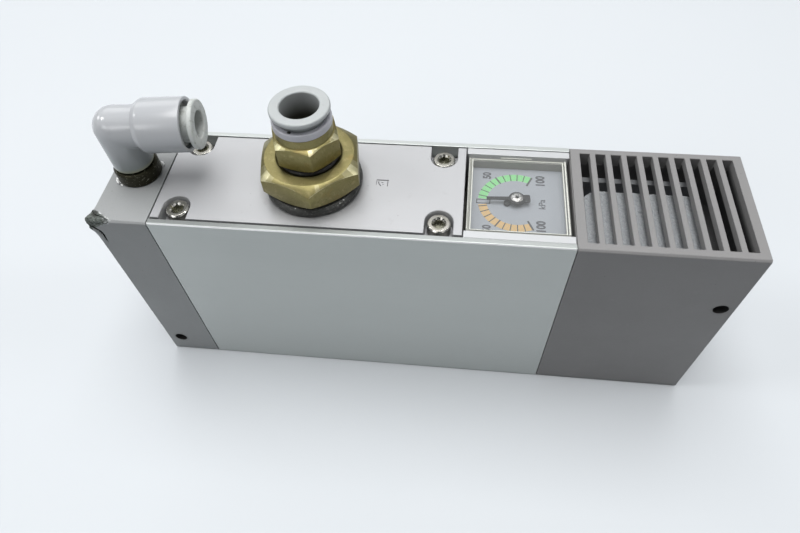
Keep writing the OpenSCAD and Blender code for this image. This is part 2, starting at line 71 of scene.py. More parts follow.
FC0, FC1 = mm_box("front_cover")
XC0, XC1 = mm_box("exhaust_cover")
EB0, EB1 = mm_box("body_extrusion")
OX = FC0.x                       # supply end
XA = FC1.x                       # front cover to extrusion
XB = XC0.x                       # extrusion to exhaust cover
XE = XC1.x                       # exhaust end
TOP = FC1.z                      # top of the body
HW = FC1.y                       # half the body's width
b0, b1 = mm_box("port_bushing")
pb0, pb1 = mm_box("port_release_button")
PX_ = (pb0.x + pb1.x) / 2        # vacuum port axis
s0, s1 = mm_box("elbow_stud")
EX = (s0.x + s1.x) / 2           # elbow axis
a0, a1 = mm_box("gauge_arbor")
GX = (a0.x + a1.x) / 2           # gauge spindle
DZ = mm_box("gauge_dial")[1].z   # face of the dial
ELZ = TOP + 14.7                 # axis of the elbow's barrel
TURN = math.radians(6.2)         # the way the barrel points
BAR = Matrix.Translation((EX, 0, ELZ)) @ Matrix.Rotation(TURN, 4, "Z") @ Matrix.Rotation(math.radians(90), 4, "Y")
PORT = Matrix.Translation((PX_, 0, TOP))
STUD = Matrix.Translation((EX, 0, TOP))


# ------------------------------------------------------------------ mesh helpers, in millimetres
def obj(name, bm):
    me = bpy.data.meshes.new(name)
    bm.to_mesh(me)
    bm.free()
    o = bpy.data.objects.new(name, me)
    coll.objects.link(o)
    return o


def bake(o):
    """Applies the modifiers of o."""
    bpy.context.view_layer.update()
    dg = bpy.context.evaluated_depsgraph_get()
    me = bpy.data.meshes.new_from_object(o.evaluated_get(dg), depsgraph=dg)
    o.modifiers.clear()
    old = o.data
    o.data = me
    bpy.data.meshes.remove(old)
    return o


def drop(o):
    me = o.data
    bpy.data.objects.remove(o)
    if me.users == 0:
        bpy.data.meshes.remove(me)


def cut(o, *tools, op="DIFFERENCE"):
    for t in tools:
        m = o.modifiers.new("b", "BOOLEAN")
        m.operation = op
        m.solver = "MANIFOLD"
        m.object = t
        bake(o)
        drop(t)
    return o


def join(name, parts):
    bm = bmesh.new()
    for p in parts:
        bm.from_mesh(p.data)
        drop(p)
    return obj(name, bm)


def fil(pts, n=4, r0=0.0):
    """Rounds the corners of a closed outline: each point is (a, b) or (a, b, radius)."""
    out = []
    k = len(pts)
    for i, p in enumerate(pts):
        r = p[2] if len(p) > 2 else r0
        P, A, B = Vector(p[:2]), Vector(pts[i - 1][:2]), Vector(pts[(i + 1) % k][:2])
        if r <= 0 or (A - P).length < 1e-6 or (B - P).length < 1e-6:
            out.append((P.x, P.y))
            continue
        u, v = (A - P).normalized(), (B - P).normalized()
        ang = u.angle(v)
        if ang < 0.05 or ang > math.pi - 0.05:
            out.append((P.x, P.y))
            continue
        t = min(r / math.tan(ang / 2), 0.48 * (A - P).length, 0.48 * (B - P).length)
        rr = t * math.tan(ang / 2)
        c = P + (u + v).normalized() * (rr / math.sin(ang / 2))
        q0, q1 = P + u * t - c, P + v * t - c
        t0, t1 = math.atan2(q0.y, q0.x), math.atan2(q1.y, q1.x)
        d = (t1 - t0 + math.pi) % (2 * math.pi) - math.pi
        for j in range(n + 1):
            a = t0 + d * j / n
            out.append((c.x + rr * math.cos(a), c.y + rr * math.sin(a)))
    return out


def lathe(name, prof, M=I4, seg=96, mod=None):
    """Turns a closed outline of (radius, height) about local Z. mod(i, angle) adds to the radius of point i."""
    bm = bmesh.new()
    rings = []
    for i, (r, z) in enumerate(prof):
        if r < 1e-6:
            v = bm.verts.new(M @ Vector((0, 0, z)))
            rings.append([v] * seg)
        else:
            ring = []
            for k in range(seg):
                a = 2 * math.pi * k / seg
                q = r + (mod(i, a) if mod else 0.0)
                ring.append(bm.verts.new(M @ Vector((q * math.cos(a), q * math.sin(a), z))))
            rings.append(ring)
    for i in range(len(prof)):
        A, B = rings[i], rings[(i + 1) % len(prof)]
        for k in range(seg):
            vs = []
            for v in (A[k], A[(k + 1) % seg], B[(k + 1) % seg], B[k]):
                if v not in vs:
                    vs.append(v)
            if len(vs) > 2:
                bm.faces.new(vs)
    bmesh.ops.recalc_face_normals(bm, faces=bm.faces)
    return obj(name, bm)


def prism(name, pts, z0, z1, M=I4):
    """A closed outline in local XY, pulled from z0 to z1."""
    bm = bmesh.new()
    lo = [bm.verts.new(M @ Vector((x, y, z0))) for x, y in pts]
    hi = [bm.verts.new(M @ Vector((x, y, z1))) for x, y in pts]
    bm.faces.new(lo[::-1])
    bm.faces.new(hi)
    k = len(pts)
    for i in range(k):
        bm.faces.new((lo[i], lo[(i + 1) % k], hi[(i + 1) % k], hi[i]))
    bmesh.ops.recalc_face_normals(bm, faces=bm.faces)
    return obj(name, bm)


def cyl(name, p, r, h, axis="Z", seg=64):
    M = Matrix.Translation(p)
    if axis == "X":
        M = M @ Matrix.Rotation(math.radians(90), 4, "Y")
    if axis == "Y":
        M = M @ Matrix.Rotation(math.radians(-90), 4, "X")
    return lathe(name, [(0, 0), (r, 0), (r, h), (0, h)], M, seg)


def block(name, lo, hi, r=0.0, n=3):
    bm = bmesh.new()
    bmesh.ops.create_cube(bm, size=1.0)
    c, d = (Vector(lo) + Vector(hi)) / 2, Vector(hi) - Vector(lo)
    for v in bm.verts:
        v.co = Vector((c.x + v.co.x * d.x, c.y + v.co.y * d.y, c.z + v.co.z * d.z))
    if r > 0:
        bmesh.ops.bevel(bm, geom=bm.edges[:], offset=r, segments=n, profile=0.5, affect="EDGES", clamp_overlap=True)
    return obj(name, bm)


def soften(o, width=0.1, seg=2, angle=32):
    """Rounds the sharp edges a little, as a tumbled or painted part has."""
    m = o.modifiers.new("bevel", "BEVEL")
    m.width = width
    m.segments = seg
    m.limit_method = "ANGLE"
    m.angle_limit = math.radians(angle)
    m.use_clamp_overlap = False
    m.harden_normals = False
    return bake(o)


def cad_copy(name, node):
    """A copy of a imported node's mesh in millimetres, with its split points joined and its flat faces redivided."""
    me = nodes[node].data.copy()
    bm = bmesh.new()
    bm.from_mesh(me)
    bpy.data.meshes.remove(me)
    for v in bm.verts:
        v.co /= MM
    bmesh.ops.remove_doubles(bm, verts=bm.verts, dist=0.002)
    bmesh.ops.dissolve_limit(bm, angle_limit=math.radians(1.0), verts=bm.verts, edges=bm.edges)
    bmesh.ops.triangulate(bm, faces=bm.faces, quad_method="BEAUTY", ngon_method="BEAUTY")
    bmesh.ops.recalc_face_normals(bm, faces=bm.faces)
    return obj(name, bm)


def tidy(o):
    """Clears the slivers that a cut leaves."""
    bm = bmesh.new()
    bm.from_mesh(o.data)
    bmesh.ops.remove_doubles(bm, verts=bm.verts, dist=0.003)
    bmesh.ops.dissolve_degenerate(bm, edges=bm.edges, dist=0.001)
    bmesh.ops.triangulate(bm, faces=[f for f in bm.faces if len(f.verts) > 3], quad_method="BEAUTY", ngon_method="BEAUTY")
    bmesh.ops.recalc_face_normals(bm, faces=bm.faces)
    bm.to_mesh(o.data)
    bm.free()
    return o


def joint_groove(o, x0, x1, deep=0.55):
    """A fine groove round the casing where two parts meet."""
    ring = block("ring", (x0, -HW - 1, -1), (x1, HW + 1, TOP + 1))
    cut(ring, block("core", (x0 - 1, -HW + deep, deep), (x1 + 1, HW - deep, TOP - deep)))
    return cut(o, ring)


def fin(o, body, mat, replaces=(), smooth=38, weighted=False, more=()):
    """Millimetres to metres, shading, material and body. more holds (material, test) pairs for chosen faces."""
    me = o.data
    for k, (extra, test) in enumerate(more):
        for p in me.polygons:
            if test(p.center, p.normal):
                p.material_index = k + 1
    me.transform(Matrix.Scale(MM, 4))
    for p in me.polygons:
        p.use_smooth = True
    me.set_sharp_from_angle(angle=math.radians(smooth))
    keep = [p.material_index for p in me.polygons]
    me.materials.clear()
    me.materials.append(mat)
    for extra, test in more:
        me.materials.append(extra)
    for p, k in zip(me.polygons, keep):
        p.material_index = k if more else 0
    if weighted:
        # square faces are shaded truly flat, whatever slivers the cuts left beside them
        cn = [tuple(c.vector) for c in me.corner_normals]
        for p in me.polygons:
            k = max(range(3), key=lambda i: abs(p.normal[i]))
            if abs(p.normal[k]) > 0.99995:
                a = [0.0, 0.0, 0.0]
                a[k] = 1.0 if p.normal[k] > 0 else -1.0
                for q in p.loop_indices:
                    cn[q] = tuple(a)
        me.normals_split_custom_set(cn)
    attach(o, body)
    if replaces:
        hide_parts(*replaces)
    return o


# ------------------------------------------------------------------ materials
def srgb(r, g, b):
    """0..255 screen values to linear."""
    f = lambda c: (c / 255 / 12.92) if c / 255 <= 0.04045 else ((c / 255 + 0.055) / 1.055) ** 2.4
    return (f(r), f(g), f(b), 1.0)


class Mat:
    """A small builder for node materials in object space, in metres."""

    def __init__(self, name, color, rough=0.5, metal=0.0, spec=0.5, ior=1.5, coat=0.0, coat_rough=0.1, alpha=1.0, sheen=0.0):
        self.m = bpy.data.materials.new(name)
        self.m.use_nodes = True
        self.t = self.m.node_tree
        self.t.nodes.clear()
        self.out = self.t.nodes.new("ShaderNodeOutputMaterial")
        self.b = self.t.nodes.new("ShaderNodeBsdfPrincipled")
        self.t.links.new(self.b.outputs[0], self.out.inputs[0])
        self.b.inputs["Base Color"].default_value = color
        self.b.inputs["Roughness"].default_value = rough
        self.b.inputs["Metallic"].default_value = metal
        self.b.inputs["Specular IOR Level"].default_value = spec
        self.b.inputs["IOR"].default_value = ior
        self.b.inputs["Coat Weight"].default_value = coat
        self.b.inputs["Coat Roughness"].default_value = coat_rough
        self.b.inputs["Alpha"].default_value = alpha
        self.b.inputs["Sheen Weight"].default_value = sheen
        self.color = color
        self.rough = rough
        self.col_out = None
        self.rough_out = None
        self.norm_out = None
        tc = self.t.nodes.new("ShaderNodeTexCoord")
        self.obj = tc.outputs["Object"]

    def n(self, kind, **kw):
        nd = self.t.nodes.new(kind)
        for k, v in kw.items():
            setattr(nd, k, v)
        return nd

    def link(self, a, b):
        self.t.links.new(a, b)

    def coords(self, scale=(1, 1, 1), loc=(0, 0, 0), rot=(0, 0, 0)):
        mp = self.n("ShaderNodeMapping")
        mp.inputs["Scale"].default_value = scale
        mp.inputs["Location"].default_value = loc
        mp.inputs["Rotation"].default_value = rot
        self.link(self.obj, mp.inputs["Vector"])
        return mp.outputs[0]

    def noise(self, scale, detail=4.0, rough=0.55, vec=None, dist=0.0):
        nd = self.n("ShaderNodeTexNoise")
        nd.inputs["Scale"].default_value = scale
        nd.inputs["Detail"].default_value = detail
        nd.inputs["Roughness"].default_value = rough
        nd.inputs["Distortion"].default_value = dist
        self.link(vec if vec else self.obj, nd.inputs["Vector"])
        return nd.outputs["Fac"]

    def voronoi(self, scale, vec=None, feature="F1"):
        nd = self.n("ShaderNodeTexVoronoi", feature=feature)
        nd.inputs["Scale"].default_value = scale
        self.link(vec if vec else self.obj, nd.inputs["Vector"])
        return nd.outputs["Distance"]

    def ramp(self, fac, lo, hi, a=0.0, b=1.0):
        """Maps fac from lo..hi to a..b, held at the ends."""
        nd = self.n("ShaderNodeMapRange")
        nd.clamp = True
        nd.inputs["From Min"].default_value = lo
        nd.inputs["From Max"].default_value = hi
        nd.inputs["To Min"].default_value = a
        nd.inputs["To Max"].default_value = b
        self.link(fac, nd.inputs["Value"])
        return nd.outputs[0]

    def math(self, op, a, b=None):
        nd = self.n("ShaderNodeMath", operation=op)
        for i, v in enumerate((a, b)):
            if v is None:
                continue
            if isinstance(v, (int, float)):
                nd.inputs[i].default_value = v
            else:
                self.link(v, nd.inputs[i])
        return nd.outputs[0]

    def xyz(self, vec=None):
        nd = self.n("ShaderNodeSeparateXYZ")
        self.link(vec if vec else self.obj, nd.inputs[0])
        return nd.outputs

    def normal_z(self):
        """How far the surface faces up, -1..1, from the object's own normal."""
        g = self.n("ShaderNodeNewGeometry")
        nd = self.n("ShaderNodeSeparateXYZ")
        self.link(g.outputs["Normal"], nd.inputs[0])
        return nd.outputs

    def dist(self, p):
        nd = self.n("ShaderNodeVectorMath", operation="DISTANCE")
        self.link(self.obj, nd.inputs[0])
        nd.inputs[1].default_value = p
        return nd.outputs["Value"]

    def tint(self, fac, color):
        """Mixes color over what is there, by fac."""
        nd = self.n("ShaderNodeMix", data_type="RGBA")
        self.link(fac, nd.inputs[0])
        if self.col_out:
            self.link(self.col_out, nd.inputs[6])
        else:
            nd.inputs[6].default_value = self.color
        nd.inputs[7].default_value = color
        self.col_out = nd.outputs[2]
        return self

    def rougher(self, fac, to):
        nd = self.n("ShaderNodeMix", data_type="FLOAT")
        self.link(fac, nd.inputs[0])
        if self.rough_out:
            self.link(self.rough_out, nd.inputs[2])
        else:
            nd.inputs[2].default_value = self.rough
        nd.inputs[3].default_value = to
        self.rough_out = nd.outputs[0]
        return self

    def bump(self, height, strength=0.2, distance=0.0001):
        nd = self.n("ShaderNodeBump")
        nd.inputs["Strength"].default_value = strength
        nd.inputs["Distance"].default_value = distance
        self.link(height, nd.inputs["Height"])
        if self.norm_out:
            self.link(self.norm_out, nd.inputs["Normal"])
        self.norm_out = nd.outputs[0]
        return self

    def done(self):
        if self.col_out:
            self.link(self.col_out, self.b.inputs["Base Color"])
        if self.rough_out:
            self.link(self.rough_out, self.b.inputs["Roughness"])
        if self.norm_out:
            self.link(self.norm_out, self.b.inputs["Normal"])
        return self.m


def mul(c, k):
    return (min(1.0, c[0] * k), min(1.0, c[1] * k), min(1.0, c[2] * k), 1.0)


# anodised extrusion: satin, drawn along X
def m_anodised():
    c = (0.42, 0.444, 0.436, 1)
    m = Mat("anodised_satin", c, rough=0.40, metal=0.55)
    lines = m.noise(1.0, 5, 0.6, m.coords((40, 5200, 5200)))
    fine = m.noise(9000, 2, 0.5)
    cloud = m.noise(34, 4, 0.6, m.coords((0.5, 1, 1)))
    m.tint(m.ramp(cloud, 0.35, 0.7, 0, 0.35), mul(c, 0.93))
    m.tint(m.ramp(lines, 0.35, 0.75, 0, 0.35), mul(c, 1.06))
    specks = m.voronoi(420)
    m.tint(m.ramp(specks, 0.03, 0.055, 0.35, 0), mul(c, 0.45))
    v = m.xyz()
    # painted light: the faces that face front and back are painted lighter towards the bottom
    m.tint(m.math("MULTIPLY", m.ramp(m.math("ABSOLUTE", m.normal_z()[1]), 0.6, 0.95), m.ramp(v[2], 4 * MM, 52 * MM, 0.9, 0.0)), mul(c, 1.13))
    # painted shade: the flat top of the front ledge is painted darker, most towards the supply end
    ledge_top_shade = m.math("MULTIPLY", m.ramp(v[1], -14.4 * MM, -14.0 * MM, 1, 0), m.ramp(v[2], (TOP - 0.3) * MM, (TOP - 0.1) * MM, 0, 1))
    ledge_top_shade = m.math("MULTIPLY", ledge_top_shade, m.ramp(m.normal_z()[2], 0.90, 0.97, 0, 1))
    m.tint(m.math("MULTIPLY", ledge_top_shade, m.ramp(v[0], -45 * MM, 30 * MM, 0.9, 0.52)), mul(c, 0.47))
    # painted highlight: the 45-degree chamfers along the long top edges are painted lighter
    edge = m.math("MULTIPLY", m.ramp(m.math("ABSOLUTE", m.math("SUBTRACT", m.normal_z()[2], 0.707)), 0.06, 0.12, 1, 0), m.ramp(m.math("ABSOLUTE", v[1]), 15.3 * MM, 15.4 * MM, 0, 1))
    m.tint(m.math("MULTIPLY", edge, 0.9), (0.62, 0.63, 0.65, 1))
    m.rougher(m.ramp(cloud, 0.3, 0.7), 0.48)
    m.bump(lines, 0.16, 0.00002)
    m.bump(fine, 0.25, 0.00001)
    return m.done()


# painted die-cast covers: fine orange peel, a little dirty
def m_cover(name, c, hole, damage=None, chamber=None):
    m = Mat(name, c, rough=0.50, metal=0.0, spec=0.42)
    peel = m.noise(2600, 3, 0.55)
    grain = m.voronoi(5200)
    cloud = m.noise(45, 5, 0.62)
    m.tint(m.ramp(cloud, 0.38, 0.68, 0, 0.5), mul(c, 0.90))
    m.tint(m.ramp(peel, 0.4, 0.75, 0, 0.3), mul(c, 1.10))
    dust = m.noise(700, 6, 0.7)
    m.tint(m.ramp(dust, 0.60, 0.74, 0, 0.22), mul(c, 1.35))
    dirt = m.voronoi(260)
    m.tint(m.ramp(dirt, 0.02, 0.045, 0.5, 0), mul(c, 0.35))
    # painted shade: the faces that face front and back are painted darker towards the top
    m.tint(m.math("MULTIPLY", m.ramp(m.math("ABSOLUTE", m.normal_z()[1]), 0.6, 0.95), m.ramp(m.xyz()[2], 6 * MM, 60 * MM, 0.0, 0.20)), mul(c, 0.12))
    if damage:
        # crushed corner: bare dirty metal beyond the torn plane, scuffs round it
        nd = m.n("ShaderNodeVectorMath", operation="DOT_PRODUCT")
        m.link(m.obj, nd.inputs[0])
        nd.inputs[1].default_value = damage[0]
        k = m.math("SUBTRACT", nd.outputs["Value"], damage[1])
        wob = m.math("ADD", k, m.math("MULTIPLY", m.math("SUBTRACT", m.noise(700, 5, 0.7), 0.5), 0.0011))
        near = m.ramp(wob, -0.00036, -0.00012, 0, 1)
        m.tint(m.math("MULTIPLY", near, 0.92), (0.065, 0.078, 0.068, 1))
        streak = m.noise(1.0, 6, 0.75, m.coords((1300, 900, 2300), rot=(0.3, 0.5, 0.9)))
        m.tint(m.math("MULTIPLY", near, m.ramp(streak, 0.49, 0.60)), (0.016, 0.018, 0.014, 1))
        m.tint(m.math("MULTIPLY", near, m.ramp(m.noise(2100, 4, 0.7), 0.62, 0.70)), (0.34, 0.37, 0.35, 1))
        # painted highlight: a pale line along the raised lip of the tear
        lip_highlight = m.ramp(m.math("ABSOLUTE", m.math("ADD", wob, 0.00040)), 0.00005, 0.00015, 1, 0)
        m.tint(m.math("MULTIPLY", m.math("MULTIPLY", lip_highlight, m.ramp(m.xyz()[0], OX * MM + 0.0012, OX * MM + 0.0020, 0, 1)), m.ramp(m.noise(1700, 4, 0.7), 0.50, 0.60, 0, 0.8)), (0.62, 0.64, 0.64, 1))
        blot = m.math("ADD", m.dist((OX * MM + 0.0007, -HW * MM + 0.0022, (TOP - 0.1) * MM)), m.math("MULTIPLY", m.noise(1900, 4, 0.7), 0.0010))
        m.tint(m.ramp(blot, 0.0011, 0.0015, 0.9, 0), (0.020, 0.022, 0.018, 1))
        far = m.ramp(m.dist(damage[2]), 0.0035, 0.0075, 1, 0)
        scuff = m.ramp(m.noise(1500, 6, 0.75), 0.60, 0.66)
        m.tint(m.math("MULTIPLY", m.math("MULTIPLY", far, scuff), 0.5), (0.06, 0.06, 0.06, 1))
        m.rougher(near, 0.62)
        m.bump(m.math("MULTIPLY", near, streak), 0.5, 0.00012)
    # the long cross hole is painted near black inside (painted shade), with a rubbed ring round its mouth
    v = m.xyz()
    dx = m.math("SUBTRACT", v[0], hole[0] * MM)
    dz = m.math("SUBTRACT", v[2], hole[1] * MM)
    rad = m.math("SQRT", m.math("ADD", m.math("MULTIPLY", dx, dx), m.math("MULTIPLY", dz, dz)))
    m.tint(m.math("MULTIPLY", m.ramp(m.math("ADD", rad, m.math("MULTIPLY", peel, 0.0002)), 0.00235, 0.00265, 1, 0), 0.35), mul(c, 0.62))
    m.tint(m.ramp(rad, 0.00176, 0.00179, 1, 0), (0.018, 0.018, 0.018, 1))
    if chamber:
        # painted shade inside the silencer chamber: its walls and its far end are painted near black, with pale specks
        # on that end
        nz = m.normal_z()[2]
        inside = m.math("MULTIPLY", m.ramp(m.math("ABSOLUTE", v[1]), 13.8 * MM, 14.0 * MM, 1, 0), m.ramp(v[2], 60.0 * MM, 58.5 * MM, 0, 1))
        inside = m.math("MULTIPLY", inside, m.ramp(v[2], 2.0 * MM, 3.0 * MM, 0, 1))
        inside = m.math("MULTIPLY", inside, m.math("MULTIPLY", m.ramp(v[0], (XB + 1.4) * MM, (XB + 1.6) * MM, 0, 1), m.ramp(v[0], (XE - 1.2) * MM, (XE - 1.0) * MM, 1, 0)))
        right = m.ramp(v[0], chamber * MM, (chamber + 0.6) * MM, 0, 1)
        flat = m.ramp(nz, 0.3, 0.7, 1, 0)
        m.tint(m.math("MULTIPLY", inside, m.math("MAXIMUM", m.math("MULTIPLY", flat, 0.88), m.math("MULTIPLY", right, 0.90))), (0.020, 0.021, 0.022, 1))
        m.tint(m.math("MULTIPLY", m.math("MULTIPLY", inside, right), m.ramp(m.voronoi(900), 0.03, 0.07, 0.8, 0)), (0.30, 0.30, 0.30, 1))
    m.rougher(m.ramp(cloud, 0.3, 0.7), 0.58)
    m.bump(peel, 0.35, 0.00005)
    m.bump(grain, 0.2, 0.00002)
    return m.done()


# blasted and clear-anodised plates
def m_plate(name, c, smudge=True):
    m = Mat(name, c, rough=0.42, metal=0.20)
    cloud = m.noise(70, 5, 0.6)
    m.tint(m.ramp(cloud, 0.38, 0.68, 0, 0.4), mul(c, 0.94))
    fine = m.noise(6500, 3, 0.6)
    m.tint(m.ramp(fine, 0.5, 0.8, 0, 0.2), mul(c, 0.88))
    if smudge:
        dirt = m.noise(260, 6, 0.72)
        m.tint(m.ramp(dirt, 0.61, 0.72, 0, 0.35), (c[0] * 0.72, c[1] * 0.71, c[2] * 0.68, 1))
        dots = m.voronoi(300)
        m.tint(m.ramp(dots, 0.02, 0.05, 0.6, 0), mul(c, 0.32))
        # the stamped mark is darker in its floor, and the plate is darker in a ring round the sealing washer
        near = m.ramp(m.dist(Vector((OX + 67.25, 0.45, TOP)) * MM), 0.0023, 0.0027, 1, 0)
        m.tint(m.math("MULTIPLY", near, m.ramp(m.xyz()[2], (TOP - 0.09) * MM, (TOP - 0.03) * MM, 0.8, 0)), mul(c, 0.22))
        ring = m.ramp(m.math("ADD", m.dist(Vector((PX_, 0, TOP)) * MM), m.math("MULTIPLY", m.noise(420, 5, 0.7), 0.0016)), 0.0122, 0.0144, 0.55, 0)
        m.tint(ring, (c[0] * 0.50, c[1] * 0.49, c[2] * 0.46, 1))
    m.rougher(m.ramp(cloud, 0.35, 0.7), 0.46)
    m.bump(fine, 0.3, 0.00001)
    m.bump(m.noise(1500, 3), 0.12, 0.00003)
    return m.done()


# turned brass, dulled and spotted
def m_brass(name, c, grime=0.5, axis=None, glint=False):
    m = Mat(name, c, rough=0.38, metal=0.85)
    cloud = m.noise(260, 5, 0.62)
    m.tint(m.ramp(cloud, 0.36, 0.66, 0, 0.55), (c[0] * 0.80, c[1] * 0.80, c[2] * 0.68, 1))
    fine = m.noise(1800, 5, 0.7)
    m.tint(m.ramp(fine, 0.55, 0.72, 0, grime * 0.6), (c[0] * 0.50, c[1] * 0.50, c[2] * 0.42, 1))
    m.tint(m.ramp(m.noise(620, 5, 0.68), 0.54, 0.66, 0, 0.55), (c[0] * 1.45, c[1] * 1.45, c[2] * 1.6, 1))
    # painted reflection: orange patches stand in for orange-brown reflections in the brass
    m.tint(m.ramp(m.noise(110, 3, 0.6), 0.56, 0.66, 0, 0.30), (c[0] * 1.30, c[1] * 0.85, c[2] * 0.45, 1))
    spots = m.voronoi(900)
    m.tint(m.ramp(spots, 0.06, 0.14, grime * 0.6, 0), (c[0] * 0.40, c[1] * 0.39, c[2] * 0.30, 1))
    m.rougher(m.ramp(cloud, 0.3, 0.7), 0.40)
    m.rougher(m.ramp(fine, 0.5, 0.75), 0.52)
    if glint:
        # painted glints: pale flecks in the colour, with a matching bump
        g = m.noise(1.0, 4, 0.7, m.coords((1500, 1500, 2600)))
        m.tint(m.ramp(g, 0.60, 0.66, 0, 0.9), (0.30, 0.30, 0.24, 1))
        m.bump(g, 0.5, 0.0001)
    if axis is not None:
        # turning marks: rings about the port's axis
        v = m.xyz()
        dx = m.math("SUBTRACT", v[0], axis[0] * MM)
        rad = m.math("SQRT", m.math("ADD", m.math("MULTIPLY", dx, dx), m.math("MULTIPLY", v[1], v[1])))
        ring = m.math("SINE", m.math("MULTIPLY", m.math("ADD", rad, m.math("MULTIPLY", m.noise(300, 2), 0.0001)), 2 * math.pi / 0.00022))
        m.bump(ring, 0.10, 0.00002)
    m.bump(fine, 0.25, 0.00003)
    m.bump(m.noise(7000, 2), 0.2, 0.00001)
    return m.done()


# moulded resin of the fittings
def m_resin(name, c, rough=0.30, dirt=0.3, spec=0.5, leg=False, bore=None, step=0.10, soil_at=0.60):
    m = Mat(name, c, rough=rough, spec=spec)
    cloud = m.noise(150, 5, 0.6)
    m.tint(m.ramp(cloud, 0.35, 0.7, 0, 0.5), (c[0] * 0.93, c[1] * 0.94, c[2] * 0.95, 1))
    soil = m.noise(900, 6, 0.72)
    m.tint(m.ramp(soil, soil_at, soil_at + 0.12, 0, dirt), (c[0] * 0.62, c[1] * 0.62, c[2] * 0.58, 1))
    fleck = m.voronoi(620)
    m.tint(m.ramp(fleck, 0.03, 0.07, dirt, 0), (c[0] * 0.42, c[1] * 0.41, c[2] * 0.38, 1))
    if leg:
        # painted shade: the upright leg is painted darker and greyer towards its foot, under the barrel; its lower rim
        # is yellowed
        z = m.xyz()[2]
        m.tint(m.ramp(z, (ELZ - 10.0) * MM, (ELZ + 0.5) * MM, 0.85, 0), (c[0] * 0.44, c[1] * 0.49, c[2] * 0.46, 1))
        m.tint(m.ramp(z, (TOP + 4.5) * MM, (TOP + 5.5) * MM, 0.8, 0), (c[0] * 0.72, c[1] * 0.72, c[2] * 0.48, 1))
    if bore:
        # painted shade: the bore is painted darker with depth
        v = m.xyz()
        dx = m.math("SUBTRACT", v[0], bore[0] * MM)
        rad = m.math("SQRT", m.math("ADD", m.math("MULTIPLY", dx, dx), m.math("MULTIPLY", v[1], v[1])))
        m.tint(m.math("MULTIPLY", m.ramp(rad, (bore[1] + 0.02) * MM, (bore[1] + 0.20) * MM, 1, 0), m.ramp(v[2], bore[2] * MM, bore[3] * MM, 1, 0)), (0.03, 0.03, 0.022, 1))
    m.rougher(m.ramp(cloud, 0.3, 0.7), rough + step)
    m.bump(m.noise(4200, 3, 0.6), 0.18, 0.00002)
    m.bump(cloud, 0.1, 0.0001)
    return m.done()


def m_rubber(name, c=(0.018, 0.018, 0.018, 1), rough=0.55, dust=0.4):
    m = Mat(name, c, rough=rough, spec=0.4)
    d = m.noise(1400, 6, 0.75)
    m.tint(m.ramp(d, 0.55, 0.72, 0, dust), (0.22, 0.22, 0.21, 1))
    if dust > 0.9:
        m.tint(m.ramp(m.noise(900, 3, 0.6, m.coords(loc=(0.3, 0.1, 0.2))), 0.66, 0.70, 0, 0.9), (0.52, 0.53, 0.50, 1))
    m.rougher(m.ramp(m.noise(400, 4), 0.3, 0.7), 0.72)
    m.bump(m.noise(3600, 4, 0.7), 0.3, 0.00003)
    return m.done()


def m_steel(name, c, rough=0.30, grime=0.5):
    m = Mat(name, c, rough=rough, metal=1.0)
    cloud = m.noise(500, 5, 0.65)
    m.tint(m.ramp(cloud, 0.40, 0.64, 0, grime), (c[0] * 0.55, c[1] * 0.53, c[2] * 0.48, 1))
    fine = m.noise(2600, 4, 0.7)
    m.tint(m.ramp(fine, 0.56, 0.70, 0, grime), (c[0] * 0.30, c[1] * 0.28, c[2] * 0.25, 1))
    m.rougher(m.ramp(fine, 0.4, 0.7), rough + 0.22)
    m.bump(fine, 0.35, 0.00003)
    m.bump(m.noise(9000, 2), 0.2, 0.00001)
    return m.done()


def m_plastic(name, c, rough=0.45, metal=0.0, spec=0.5, alpha=1.0, scale=1.0, trans=0.0, var=0.3):
    m = Mat(name, c, rough=rough, metal=metal, spec=spec, alpha=alpha)
    if trans:
        m.b.inputs["Transmission Weight"].default_value = trans
    cloud = m.noise(180 * scale, 5, 0.6)
    m.tint(m.ramp(cloud, 0.35, 0.7, 0, var), (c[0] * 0.84, c[1] * 0.84, c[2] * 0.84, 1))
    m.rougher(m.ramp(cloud, 0.3, 0.7), min(1.0, rough + 0.1))
    m.bump(m.noise(4500 * scale, 3, 0.6), 0.15, 0.00002)
    return m.done()


def m_felt(name, c, k=1.0):
    m = Mat(name, c, rough=0.95, spec=0.15, sheen=0.25)
    fib = m.noise(1.0, 6, 0.75, m.coords((900 * k, 2100 * k, 1500 * k), rot=(0.2, 0.1, 0.6)), dist=0.6)
    fib2 = m.noise(1.0, 6, 0.75, m.coords((2300 * k, 800 * k, 1600 * k), rot=(0.1, 0.3, -0.5)), dist=0.6)
    m.tint(m.ramp(fib, 0.42, 0.66, 0, 0.7), mul(c, 0.62))
    m.tint(m.ramp(fib2, 0.50, 0.70, 0, 0.7), mul(c, 1.45))
    pore = m.voronoi(1500 * k)
    m.tint(m.ramp(pore, 0.05, 0.22, 0.4, 0), mul(c, 0.6))
    m.bump(fib, 0.8, 0.00025)
    m.bump(fib2, 0.6, 0.00018)
    return m.done()


# corner that took the knock
CORNER = Vector((OX, -HW, TOP))

